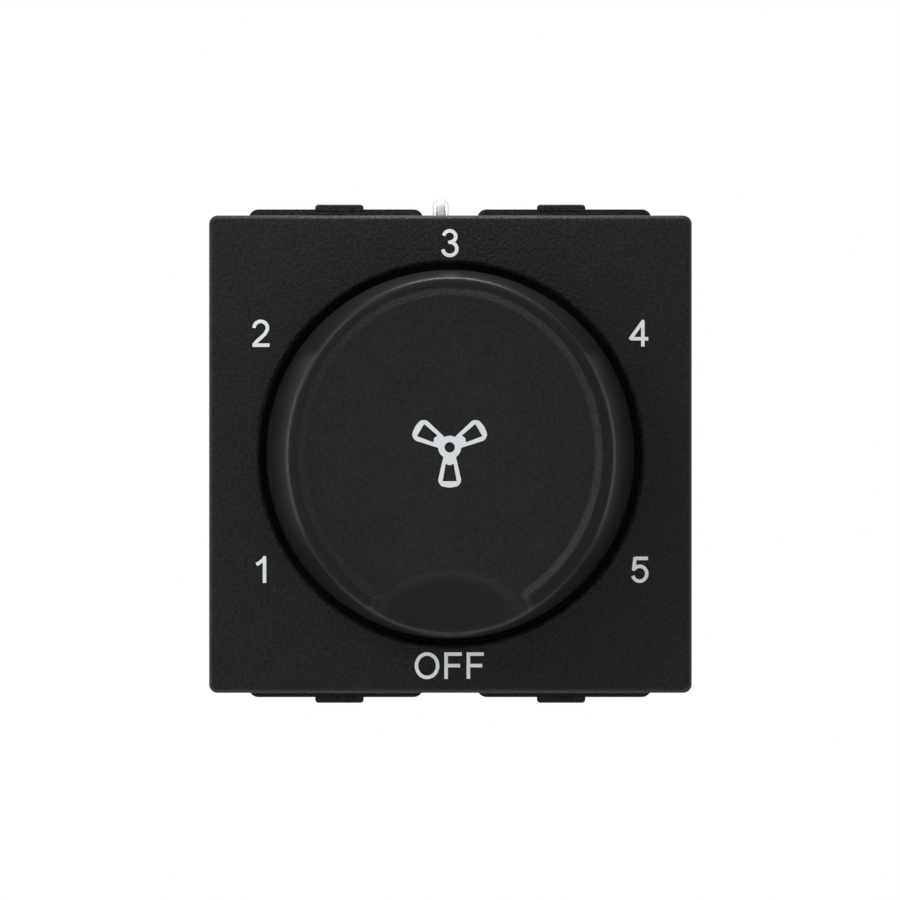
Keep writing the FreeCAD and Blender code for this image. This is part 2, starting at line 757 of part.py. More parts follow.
def locating_pin():
    """Plain pin with a rounded top."""
    foot = f"{CAVITY_Z}-pin_boss_length+pin_floor"
    body = new_body("locating_pin", x="-pin_offset", y="pin_depth", z=foot)
    outline = sketch_on(body, "pin_outline", "XY_Plane")
    circle(outline, "pin_radius")
    length = f"({HOUSING_Z}+pin_proud-({foot}))"
    pin = extrusion(body, "Pad", outline, length, reverse=False)
    rounded(body, pin, at_level("Z", number(length)), "pin_end_round")
    return body


def knob():
    """Dial with an oval rim, a dished face, a thumb scoop and two shallow grip flanks."""
    body = new_body("knob")
    skirt = sketch_on(body, "knob_skirt", offset=KNOB_BOTTOM)
    circle(skirt, SKIRT_RADIUS)
    pad_front(body, skirt, f"{SKIRT_TOP}-{KNOB_BOTTOM}")
    base = sketch_on(body, "grip_base", offset=SKIRT_TOP)
    circle(base, SKIRT_RADIUS)
    rim = sketch_on(body, "grip_rim", offset=KNOB_RIM)
    ellipse(rim, RIM_HALF_WIDTH, RIM_HALF_HEIGHT)
    grip = loft(body, base, rim)
    rounded(body, grip, at_level("Y", -number(KNOB_RIM)), "rim_round")
    mouth = sketch_on(body, "dish_mouth", offset=KNOB_RIM)
    ellipse(mouth, f"({DISH_HALF_HEIGHT}-dish_ovality)", DISH_HALF_HEIGHT)
    floor = sketch_on(body, "dish_floor", offset=KNOB_FLOOR)
    ellipse(floor, f"({FLOOR_HALF_HEIGHT}-dish_ovality)", FLOOR_HALF_HEIGHT)
    loft(body, mouth, floor, cut=True)
    cut_flanks(body)
    scoop = body.newObject("PartDesign::SubtractiveSphere", "thumb_scoop")
    scoop.AttachmentSupport = [(origin_part(body, "XZ_Plane"), "")]
    scoop.MapMode = "FlatFace"
    scoop.setExpression("Radius", formula("scoop_radius"))
    below = f"-{RIM_HALF_HEIGHT}-scoop_outside"
    scoop.setExpression(".AttachmentOffset.Base.y", formula(below))
    lift = f"{KNOB_FLOOR}+scoop_radius-scoop_depth"
    scoop.setExpression(".AttachmentOffset.Base.z", formula(lift))
    doc.recompute()

    mouth = sketch_on(body, "hollow_mouth", offset=KNOB_BOTTOM)
    circle(mouth, f"{SKIRT_RADIUS}-knob_wall")
    top = sketch_on(body, "hollow_top", offset=KNOB_CEILING)
    inset = "(knob_wall+knob_wall_growth)"
    ellipse(top, f"({RIM_HALF_WIDTH}-{inset})", f"({RIM_HALF_HEIGHT}-{inset})")
    loft(body, mouth, top, cut=True)
    boss = sketch_on(body, "socket_boss", offset=BOSS_BOTTOM)
    circle(boss, "knob_boss_radius")
    pad_front(body, boss, f"{KNOB_CEILING}-{BOSS_BOTTOM}")
    rib = sketch_on(body, "rib", offset=f"{KNOB_CEILING}-rib_depth")
    reach = f"({RIM_HALF_WIDTH}-knob_wall)"
    box_outline(rib, "knob_boss_radius-rib_thick/2", reach, "-rib_thick/2", "rib_thick/2")
    ring_of(body, pad_front(body, rib, "rib_depth"), "rib_count")
    socket = sketch_on(body, "socket", offset=BOSS_BOTTOM)
    flatted_circle(socket, "spindle_radius+socket_gap", "spindle_flat+2*grip_gap+grip_thick")
    cut_front(body, socket, f"{SOCKET_FLOOR}-{BOSS_BOTTOM}")
    return body


def cut_flanks(body):
    """Two hollows for finger and thumb, cut by wide rings that meet the drafted side."""
    middle = f"({SKIRT_TOP}+{KNOB_RIM})/2"
    mean = f"({SKIRT_RADIUS}+{RIM_HALF_WIDTH})/2"
    slope = f"(({SKIRT_RADIUS}-{RIM_HALF_WIDTH})/({KNOB_RIM}-{SKIRT_TOP}))"
    for side in (1, -1):
        ring = body.newObject("PartDesign::SubtractiveTorus", "grip_flank")
        ring.AttachmentSupport = [(origin_part(body, "XZ_Plane"), "")]
        ring.MapMode = "FlatFace"
        ring.setExpression("Radius2", formula("flank_section"))
        ring.setExpression("Radius1", formula(f"flank_sweep+flank_section*sqrt(1-{slope}^2)"))
        shift = f"{side}*({mean}-flank_depth-flank_sweep)"
        ring.setExpression(".AttachmentOffset.Base.x", formula(shift))
        ring.setExpression(".AttachmentOffset.Base.z", formula(f"{middle}+flank_section*{slope}"))
        doc.recompute()


def spindle():
    """Turned shaft with a flat for the knob and a thin tail for the contacts."""
    body = new_body("spindle")
    flatted = sketch_on(body, "flatted_end", offset=SPINDLE_TOP)
    flatted_circle(flatted, "spindle_radius", "spindle_flat")
    pad_back(body, flatted, "spindle_flat_length")
    shaft = sketch_on(body, "shaft", offset=f"{SPINDLE_TOP}-spindle_flat_length")
    circle(shaft, "spindle_radius")
    pad_back(body, shaft, f"{SPINDLE_TOP}-spindle_flat_length-{WHEEL_FRONT}")
    tail = sketch_on(body, "tail", offset=WHEEL_FRONT)
    circle(tail, "tail_radius")
    pad_back(body, tail, f"{WHEEL_FRONT}+{RING_FRONT}+ring_thick+tail_end")
    groove = sketch_on(body, "ring_groove", "XY_Plane")
    front = f"{RING_FRONT}-ring_side_gap"
    back = f"{RING_FRONT}+ring_thick+ring_side_gap"
    box_outline(groove, "tail_radius-ring_groove", "2*tail_radius", front, back)
    turned(body, groove, cut=True)
    return body


def knob_grip_spring():
    """Leaf that fills the knob's socket over the spindle's flat."""
    body = new_body("knob_grip_spring")
    leaf = sketch_on(body, "leaf", offset=f"{BOSS_BOTTOM}+grip_gap")
    low = "spindle_flat+grip_gap"
    box_outline(leaf, "-grip_width/2", "grip_width/2", low, f"{low}+grip_thick")
    pad_front(body, leaf, "grip_length")
    return body


def detent_wheel():
    """Wheel with one notch for each position, and the arm that meets the stop."""
    body = new_body("detent_wheel")
    disc = sketch_on(body, "arm_disc", offset=WHEEL_FRONT)
    circle(disc, "arm_disc_radius")
    pad_back(body, disc, "arm_layer")
    arm = sketch_on(body, "stop_arm", offset=WHEEL_FRONT)
    box_outline(arm, "-arm_width/2", "arm_width/2", "-arm_reach", "0")
    pad_back(body, arm, "arm_layer")
    layer = sketch_on(body, "notch_disc", offset=NOTCH_LAYER_FRONT)
    circle(layer, "notch_disc_radius")
    pad_back(body, layer, "notch_layer")
    notch = sketch_on(body, "notch", offset=NOTCH_LAYER_FRONT)
    circle(notch, "notch_radius", y="notch_circle")
    ring_of(body, cut_back(body, notch, "notch_layer"), "notch_count")
    bore = sketch_on(body, "wheel_bore", offset=WHEEL_FRONT)
    circle(bore, "tail_radius+tail_fit")
    cut_back(body, bore, "arm_layer+notch_layer")
    return body


def detent_spring():
    """Leaf spring across the case whose bump rests in the top notch."""
    half = number("spring_half_span")
    bump = number("spring_bump_half")
    thick = number("spring_thick")
    inner = "(case_radius-case_wall)"
    end = number(f"sqrt({inner}^2-spring_half_span^2)-spring_end_fit-spring_thick")
    low = number("notch_circle-notch_radius+spring_clearance")
    foot = low + number("spring_bump_drop")

    def edge_run(lift):
        points = [(-half, end), (-bump, foot), (0, low), (bump, foot), (half, end)]
        left, rise, tip, fall, right = [Vector(x, 0, z + lift) for x, z in points]
        bump_arc = Part.Arc(rise, tip, fall).toShape()
        return [Part.makeLine(left, rise), bump_arc, Part.makeLine(fall, right)]

    lower = edge_run(0)
    upper = edge_run(thick)
    sides = []
    for x in (-half, half):
        sides.append(Part.makeLine(Vector(x, 0, end), Vector(x, 0, end + thick)))
    outline = Part.Wire(Part.__sortEdges__(lower + upper + sides))
    spring = doc.addObject("Part::Feature", "detent_spring")
    spring.Label = "detent_spring"
    spring.Shape = Part.Face(outline).extrude(Vector(0, number("spring_width"), 0))
    depth = number(f"spring_layer_gap-{NOTCH_LAYER_FRONT}")
    spring.Placement = Placement(Vector(0, depth, 0), Rotation())
    return spring


def contact_bridge():
    """Springy wiper: one tip on the common ring, one on the speed contacts."""
    body = new_body("contact_bridge")
    front = f"-{WHEEL_BACK}"
    disc = sketch_on(body, "bridge_disc", offset=front)
    circle(disc, "bridge_disc_radius")
    pad_back(body, disc, "bridge_thick")
    arm = sketch_on(body, "bridge_arm", offset=front)
    half = "bridge_width/2"
    top = "common_circle+bridge_overhang"
    box_outline(arm, f"-{half}", half, "-contact_circle-bridge_overhang", top)
    pad_back(body, arm, "bridge_thick")
    tips = sketch_on(body, "bridge_tips", offset=front)
    circle(tips, "tip_radius", y="-contact_circle")
    circle(tips, "tip_radius", y="common_circle")
    tip = pad_back(body, tips, f"{CONTACT_FRONT}-tip_gap-{WHEEL_BACK}")
    ends = at_level("Y", number(f"{CONTACT_FRONT}-tip_gap"))
    rounded(body, tip, ends, "tip_round")
    bore = sketch_on(body, "bridge_bore", offset=front)
    circle(bore, "tail_radius+tail_fit")
    cut_back(body, bore, "bridge_thick")
    return body


def retaining_ring():
    """Open ring in the groove of the spindle's tail."""
    body = new_body("retaining_ring")
    ring = sketch_on(body, "ring_section", offset=f"-{RING_FRONT}")
    circle(ring, "ring_radius")
    circle(ring, "tail_radius-ring_groove+tail_fit")
    pad_back(body, ring, "ring_thick")
    gap = sketch_on(body, "ring_opening", offset=f"-{RING_FRONT}")
    half = "(tail_radius-ring_groove)"
    box_outline(gap, f"-{half}", half, "0", "ring_radius+ring_gap")
    cut_back(body, gap, "ring_thick")
    return body


def switch_case():
    """Cup with the spindle's bush, the stop lug and three pegs through the board."""
    body = new_body("switch_case")
    outer = sketch_on(body, "case_outer", offset=CASE_FRONT)
    circle(outer, "case_radius")
    pad_back(body, outer, f"{CASE_FRONT}+board_depth")
    inner = sketch_on(body, "case_inner", offset=CASE_INNER_FRONT)
    circle(inner, "case_radius-case_wall")
    cut_back(body, inner, f"{CASE_INNER_FRONT}+board_depth")
    bush = sketch_on(body, "bush", offset=CASE_INNER_FRONT)
    circle(bush, "bush_radius")
    pad_back(body, bush, "bush_step")
    bore = sketch_on(body, "bush_bore", offset=CASE_FRONT)
    circle(bore, "spindle_radius+bush_fit")
    cut_back(body, bore, "case_front_thick+bush_step")

    lug = sketch_on(body, "stop_lug", offset=CASE_INNER_FRONT)
    outer_reach = "(case_radius-case_wall+lug_sink)"
    last_turn = "(90-360/notch_count/2)"
    corners = []
    for reach, turn in (("lug_inner", -1), (outer_reach, -1), (outer_reach, 1), ("lug_inner", 1)):
        angle = f"({last_turn}-{turn}*lug_half_angle)"
        corners.append((f"{reach}*cos({angle})", f"-{reach}*sin({angle})"))
    polygon(lug, corners)
    pad_back(body, lug, f"{CASE_INNER_FRONT}-{NOTCH_LAYER_FRONT}-lug_short")
    peg = sketch_on(body, "peg", offset="-board_depth")
    circle(peg, "peg_radius", y="case_radius-case_wall/2")
    ring_of(body, pad_back(body, peg, "board_thick+peg_proud"), "peg_count")
    return body


def spot(count, radius):
    """Place on a circle that the bridge's arm reaches after some steps from OFF."""
    angle = f"(90+{count}*360/notch_count)"
    return f"{radius}*cos({angle})", f"-{radius}*sin({angle})"


def switch_wafer():
    """Insulating disc that carries the fixed contacts."""
    body = new_body("switch_wafer")
    disc = sketch_on(body, "wafer_outline", offset=f"-{WAFER_FRONT}")
    circle(disc, "case_radius-case_wall-wafer_gap")
    pad_back(body, disc, "wafer_thick")
    holes = sketch_on(body, "wafer_holes", offset=f"-{WAFER_FRONT}")
    circle(holes, "tail_radius+wafer_bore_gap")
    for speed in SPEEDS:
        circle(holes, "tail_wire_radius+lead_fit", *spot(speed, "contact_circle"))
    circle(holes, "tail_wire_radius+lead_fit", "common_circle")
    cut_back(body, holes, "wafer_thick")
    return body


def speed_contact(speed):
    """Fixed contact with its tail through the wafer and the board."""
    x, z = spot(speed, "contact_circle")
    body = new_body(f"speed_contact_{speed}", x=x, z=z)
    pad = sketch_on(body, "contact_pad", offset=f"-{CONTACT_FRONT}")
    circle(pad, "contact_radius")
    pad_back(body, pad, "contact_thick")
    tail = sketch_on(body, "contact_tail", offset=f"-{WAFER_FRONT}")
    circle(tail, "tail_wire_radius")
    pad_back(body, tail, f"{BOARD_BACK}+tail_wire_proud-{WAFER_FRONT}")
    return body


def common_contact():
    """Ring that the wiper's inner tip slides on."""
    body = new_body("common_contact")
    ring = sketch_on(body, "common_ring", offset=f"-{CONTACT_FRONT}")
    circle(ring, "common_circle+common_width/2")
    circle(ring, "common_circle-common_width/2")
    pad_back(body, ring, "contact_thick")
    tail = sketch_on(body, "common_tail", offset=f"-{WAFER_FRONT}")
    circle(tail, "tail_wire_radius", "common_circle")
    pad_back(body, tail, f"{BOARD_BACK}+tail_wire_proud-{WAFER_FRONT}")
    return body


def circuit_board():
    """Board between the housing's posts and the switch case, drilled for every lead."""
    body = new_body("circuit_board")
    outline = sketch_on(body, "board_outline", offset="-board_depth")
    centred_outline(outline, f"({CAVITY_X}-board_gap)", f"({CAVITY_Z}-board_gap)")
    pad_back(body, outline, "board_thick")
    holes = sketch_on(body, "board_holes", offset="-board_depth")
    circle(holes, "board_bore")
    wire = "tail_wire_radius+lead_fit"
    for speed in SPEEDS:
        circle(holes, wire, *spot(speed, "contact_circle"))
    circle(holes, wire, "common_circle")
    for peg in range(int(number("peg_count"))):
        radius = "(case_radius-case_wall/2)"
        angle = f"({peg}*360/peg_count)"
        circle(holes, "peg_radius+lead_fit", f"{radius}*sin({angle})", f"{radius}*cos({angle})")
    for side, level in BOARD_SCREW_CORNERS:
        radius = "board_screw_radius+screw_hole_gap"
        circle(holes, radius, f"{side}*{POST_X}", f"{level}*{POST_Z}")
    for side in (1, -1):
        for centre in (SMALL_CENTRE, LARGE_CENTRE):
            circle(holes, wire, f"{side}*{CAPACITOR_LEAD}", centre)
        for end in (1, -1):
            circle(holes, wire, f"{side}*{RESISTOR_OFFSET}", f"{end}*{RESISTOR_LEAD}")
        radius = "sqrt(bar_pin_width^2+bar_pin_thick^2)/2+bar_pin_gap"
        circle(holes, radius, f"{side}*terminal_offset", f"-{TONGUE_CENTRE}")
    cut_back(body, holes, "board_thick")
    return body


def board_screw(index, side, level):
    """Self-tapping screw through the board into a post."""
    name = f"board_screw_{index}"
    body = new_body(name, f"{side}*{POST_X}", "board_depth", f"{level}*{POST_Z}")
    section = sketch_on(body, "screw_section", "XY_Plane")
    head = "-board_screw_head_thick"
    tip = "board_screw_length-board_screw_point"
    polygon(section, (
        ("0", head),
        ("board_screw_head", head),
        ("board_screw_head", "0"),
        ("board_screw_radius", "0"),
        ("board_screw_radius", tip),
        ("board_screw_tip", "board_screw_length"),
        ("0", "board_screw_length"),
    ))
    turned(body, section)
    cross = sketch_on(body, "cross_slot", offset="board_screw_head_thick")
    centred_outline(cross, "cross_slot_reach", "cross_slot/2")
    cut_back(body, cross, "cross_slot_depth")
    second = sketch_on(body, "cross_slot", offset="board_screw_head_thick")
    centred_outline(second, "cross_slot/2", "cross_slot_reach")
    cut_back(body, second, "cross_slot_depth")
    return body


def capacitor(name, centre, height, depth):
    """Boxed film capacitor on two leads."""
    front = f"{BOARD_BACK}+capacitor_standoff"
    body = new_body(name, y=front, z=centre)
    case = sketch_on(body, "case_outline")
    centred_outline(case, CAPACITOR_HALF, f"{height}/2")
    block = pad_back(body, case, depth)
    back = number(depth)

    def is_outer(box):
        return along("Y")(box) or at_level("Y", back)(box)

    rounded(body, block, is_outer, "capacitor_round")
    leads = sketch_on(body, "leads")
    for side in (1, -1):
        circle(leads, "tail_wire_radius", f"{side}*{CAPACITOR_LEAD}")
    pad_front(body, leads, "capacitor_standoff+board_thick")
    return body


def bleed_resistor(name, side):
    """Dumb-bell shaped resistor upright beside the capacitors, with two bent leads."""
    depth = f"{BOARD_BACK}+capacitor_standoff+resistor_radius"
    body = new_body(name, f"{side}*{RESISTOR_OFFSET}", depth)
    section = sketch_on(body, "resistor_section")
    half = "resistor_length/2"
    waist = "resistor_length/2-resistor_cap"
    polygon(section, (
        ("0", f"-{half}"),
        ("resistor_radius", f"-{half}"),
        ("resistor_radius", f"-({waist})"),
        ("resistor_waist", f"-({waist})+resistor_step"),
        ("resistor_waist", f"{waist}-resistor_step"),
        ("resistor_radius", waist),
        ("resistor_radius", half),
        ("0", half),
    ))
    barrel = turned(body, section)
    ends = number(half)

    def is_end(box):
        return at_level("Z", ends)(box) or at_level("Z", -ends)(box)

    rounded(body, barrel, is_end, "resistor_round")
    for end in (1, -1):
        level = f"{end}*{RESISTOR_LEAD}"
        drop = sketch_on(body, "lead_drop")
        circle(drop, "tail_wire_radius", y=level)
        pad_front(body, drop, "resistor_radius+capacitor_standoff+board_thick")
        out = sketch_on(body, "lead_out", "XY_Plane", level)
        circle(out, "tail_wire_radius")
        extrusion(body, "Pad", out, "resistor_lead_reach+resistor_waist", reverse=end > 0)
    return body


def terminal_block():
    """Moulded block with two chambers, two wire entries and two screw seats."""
    body = new_body("terminal_block")
    outline = sketch_on(body, "block_outline", offset=f"-{BOARD_BACK}")
    half = "block_width/2"
    box_outline(outline, f"-{half}", half, f"-{BLOCK_BOTTOM}", f"-{BLOCK_TOP}")
    pad_back(body, outline, f"housing_depth-{BOARD_BACK}")
    chambers = sketch_on(body, "chambers", offset=f"-{BOARD_BACK}")
    entries = sketch_on(body, "wire_entries", offset="-housing_depth")
    shafts = sketch_on(body, "screw_shafts", "XY_Plane", f"-{BLOCK_BOTTOM}")
    seats = sketch_on(body, "screw_seats", "XY_Plane", f"-{BLOCK_BOTTOM}")
    for side in (1, -1):
        x = f"{side}*terminal_offset"
        left = f"{x}-chamber_width/2"
        right = f"{x}+chamber_width/2"
        box_outline(chambers, left, right, f"-{CHAMBER_BOTTOM}", f"-{CHAMBER_TOP}")
        circle(entries, "wire_radius", x, f"-{WIRE_CENTRE}")
        circle(shafts, "screw_radius+screw_side_gap", x, SCREW_DEPTH)
        circle(seats, "screw_head_radius+screw_side_gap", x, SCREW_DEPTH)
    cut_back(body, chambers, "chamber_depth")
    cut_front(body, entries, f"housing_depth-{CHAMBER_END}")
    extrusion(body, "Pocket", shafts, f"{BLOCK_BOTTOM}-{CHAMBER_BOTTOM}", reverse=True)
    extrusion(body, "Pocket", seats, f"{BLOCK_BOTTOM}-{HEAD_SEAT}", reverse=True)
    return body


def busbar(name, side):
    """Flat tongue through the cage, with a pin in the board."""
    body = new_body(name, x=f"{side}*terminal_offset", z=f"-{TONGUE_CENTRE}")
    tongue = sketch_on(body, "tongue", offset=f"-{BOARD_BACK}-bar_tongue_board_gap")
    centred_outline(tongue, "bar_tongue_width/2", "bar_tongue_thick/2")
    pad_back(body, tongue, "chamber_depth-bar_tongue_board_gap-bar_tongue_end_gap")
    pin = sketch_on(body, "board_pin", offset="-board_depth")
    centred_outline(pin, "bar_pin_width/2", "bar_pin_thick/2")
    pad_back(body, pin, "board_thick+bar_tongue_board_gap")
    return body


def cage(name, side):
    """Square cage that a screw draws on the tongue."""
    front = f"{CAGE_BACK}-cage_length"
    body = new_body(name, x=f"{side}*terminal_offset", y=front)
    outline = sketch_on(body, "cage_outline")
    half = "(chamber_width/2-cage_side_gap)"
    box_outline(outline, f"-{half}", half, f"-{CAGE_BOTTOM}", f"-{CAGE_TOP}")
    pad_back(body, outline, "cage_length")
    window = sketch_on(body, "cage_window")
    inner = f"({half}-cage_side_wall)"
    box_outline(window, f"-{inner}", inner, f"-{NUT_TOP}", f"-{CAGE_TOP}-cage_top_wall")
    cut_back(body, window, "cage_length")
    hole = sketch_on(body, "nut_hole", "XY_Plane", f"-{CAGE_BOTTOM}")
    circle(hole, "screw_radius+screw_fit", y="cage_length/2")
    extrusion(body, "Pocket", hole, "cage_nut", reverse=True)
    return body


def terminal_screw(name, side):
    """Captive slotted screw, with its head towards the driver's hole."""
    body = new_body(name, f"{side}*terminal_offset", SCREW_DEPTH, f"-{HEAD_BOTTOM}")
    section = sketch_on(body, "screw_section")
    length = f"({HEAD_BOTTOM}-{SCREW_END})"
    polygon(section, (
        ("0", "0"),
        ("screw_head_radius", "0"),
        ("screw_head_radius", "screw_head_thick"),
        ("screw_radius", "screw_head_thick"),
        ("screw_radius", length),
        ("0", length),
    ))
    turned(body, section)
    slot = sketch_on(body, "driver_slot", "XY_Plane")
    centred_outline(slot, "screw_head_radius+screw_slot_overrun", "screw_slot/2")
    extrusion(body, "Pocket", slot, "screw_slot_depth", reverse=True)
    return body


def check_document():
    """Stop if any object failed, or if a cut took nothing away."""
    doc.recompute()
    for item in doc.Objects:
        if "Invalid" in item.State or "Error" in item.State:
            raise RuntimeError(f"{item.Name} failed: {item.State}")
        cuts = ("Pocket", "Groove", "Subtractive")
        if item.isDerivedFrom("PartDesign::Feature") and any(word in item.TypeId for word in cuts):
            before = item.BaseFeature.Shape.Volume
            if before - item.Shape.Volume < 1e-6:
                raise RuntimeError(f"{item.Name} cuts nothing")


def export(pieces):
    """Write each piece to a file of its own."""
    os.makedirs("parts", exist_ok=True)
    for piece in pieces:
        shape = piece.Shape
        if shape.isNull() or not shape.isValid() or len(shape.Solids) != 1:
            raise RuntimeError(f"{piece.Label} is not one valid solid")
        shape.exportStep(f"parts/{piece.Label}.step")
        print(f"{piece.Label}: {shape.Volume:.1f} mm3, {len(shape.Faces)} faces")


def main():
    """Build every piece, check the document and write the files."""
    fill_sheet()
    pieces = [
        front_plate(),
        rear_housing(),
        locating_pin(),
        knob(),
        knob_grip_spring(),
        spindle(),
        detent_wheel(),
        detent_spring(),
        contact_bridge(),
        retaining_ring(),
        switch_case(),
        switch_wafer(),
        common_contact(),
        circuit_board(),
        capacitor("capacitor_large", LARGE_CENTRE, LARGE_HEIGHT, LARGE_DEPTH),
        capacitor("capacitor_small", SMALL_CENTRE, SMALL_HEIGHT, f"({LARGE_DEPTH}-small_shorter)"),
        bleed_resistor("bleed_resistor_left", -1),
        bleed_resistor("bleed_resistor_right", 1),
        terminal_block(),
    ]
    for speed in SPEEDS:
        pieces.append(speed_contact(speed))
    for index, (side, level) in enumerate(BOARD_SCREW_CORNERS, start=1):
        pieces.append(board_screw(index, side, level))
    for wire, side in (("line", -1), ("load", 1)):
        pieces.append(busbar(f"{wire}_busbar", side))
        pieces.append(cage(f"{wire}_cage", side))
        pieces.append(terminal_screw(f"{wire}_screw", side))
    check_document()
    export(pieces)


main()
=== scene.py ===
"""Looks of the fan speed control switch: a square black plate with a turning oval dial.

Lengths are metres unless a docstring says otherwise. X is to the right, Z is up and the plate
faces -Y. Angles of ovals are degrees from the right, towards the top.
"""

import json
import logging
import math
from dataclasses import dataclass, field
from enum import Enum
from typing import Any, Iterable, Sequence

import bmesh
import bpy
from bmesh.types import BMesh
from bpy.types import Material, Mesh, Node, NodeSocket, NodeTree, Object
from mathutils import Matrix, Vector

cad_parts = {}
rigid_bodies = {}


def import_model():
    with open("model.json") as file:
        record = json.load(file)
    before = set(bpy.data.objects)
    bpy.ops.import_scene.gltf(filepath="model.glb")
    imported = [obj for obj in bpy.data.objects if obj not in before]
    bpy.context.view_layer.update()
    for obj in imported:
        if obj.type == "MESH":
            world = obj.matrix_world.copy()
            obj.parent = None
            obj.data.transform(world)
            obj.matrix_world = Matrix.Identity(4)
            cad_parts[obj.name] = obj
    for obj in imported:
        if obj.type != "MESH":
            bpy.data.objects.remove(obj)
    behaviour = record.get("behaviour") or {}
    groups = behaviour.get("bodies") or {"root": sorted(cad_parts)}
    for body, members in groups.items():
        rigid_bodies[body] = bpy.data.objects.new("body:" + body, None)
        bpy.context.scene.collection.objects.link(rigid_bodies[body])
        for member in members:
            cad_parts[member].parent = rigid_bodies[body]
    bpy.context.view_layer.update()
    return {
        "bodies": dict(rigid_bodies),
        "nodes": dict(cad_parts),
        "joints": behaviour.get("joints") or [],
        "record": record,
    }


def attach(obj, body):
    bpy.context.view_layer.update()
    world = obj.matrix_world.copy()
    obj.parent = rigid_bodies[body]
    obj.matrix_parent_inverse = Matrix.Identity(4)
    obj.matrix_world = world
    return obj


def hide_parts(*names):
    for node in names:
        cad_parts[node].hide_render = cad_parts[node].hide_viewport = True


MM = 0.001
LOG = logging.getLogger("fan_speed_switch")

Point = tuple[float, float]
# Two numbers that a ramp, a tone or a height runs between.
Span = tuple[float, float]
Place = tuple[float, float, float]
Colour = tuple[float, float, float]
# Half width, half height and how far the centre lies above the dial's axis.
Oval = tuple[float, float, float]


# Shader building


class Value:
    """A number that varies over a surface, with arithmetic that adds Math nodes."""

    def __init__(self, sheet: "NodeSheet", socket: NodeSocket) -> None:
        """Wrap an output socket of a node sheet."""
        self.sheet = sheet
        self.socket = socket

    def maths(self, operation: str, *terms: "Value | float") -> "Value":
        """A Math node on some terms.

        Args:
            operation: the node's operation.
            terms: its inputs in order.

        Returns:
            The node's result.
        """
        inputs = {index: term for index, term in enumerate(terms)}
        node = self.sheet.node("ShaderNodeMath", inputs, operation=operation)
        return Value(self.sheet, node.outputs[0])

    def __add__(self, other: "Value | float") -> "Value":
        """Sum."""
        return self.maths("ADD", self, other)

    def __radd__(self, other: float) -> "Value":
        """Sum with a number in front."""
        return self.maths("ADD", other, self)

    def __sub__(self, other: "Value | float") -> "Value":
        """Difference."""
        return self.maths("SUBTRACT", self, other)

    def __rsub__(self, other: float) -> "Value":
        """Difference from a number."""
        return self.maths("SUBTRACT", other, self)

    def __mul__(self, other: "Value | float") -> "Value":
        """Product."""
        return self.maths("MULTIPLY", self, other)

    def __rmul__(self, other: float) -> "Value":
        """Product with a number in front."""
        return self.maths("MULTIPLY", other, self)

    def __neg__(self) -> "Value":
        """The number with its sign turned."""
        return self.maths("MULTIPLY", self, -1.0)

    def __abs__(self) -> "Value":
        """The number without its sign."""
        return self.maths("ABSOLUTE", self)

    def most(self, other: "Value | float") -> "Value":
        """The larger of the two."""
        return self.maths("MAXIMUM", self, other)

    def ramp(self, low: float, high: float) -> "Value":
        """A smooth step.

        Args:
            low: where it is 0.
            high: where it is 1.

        Returns:
            The step.
        """
        inputs = {"Value": self, "From Min": low, "From Max": high}
        node = self.sheet.node("ShaderNodeMapRange", inputs, interpolation_type="SMOOTHSTEP")
        return Value(self.sheet, node.outputs["Result"])


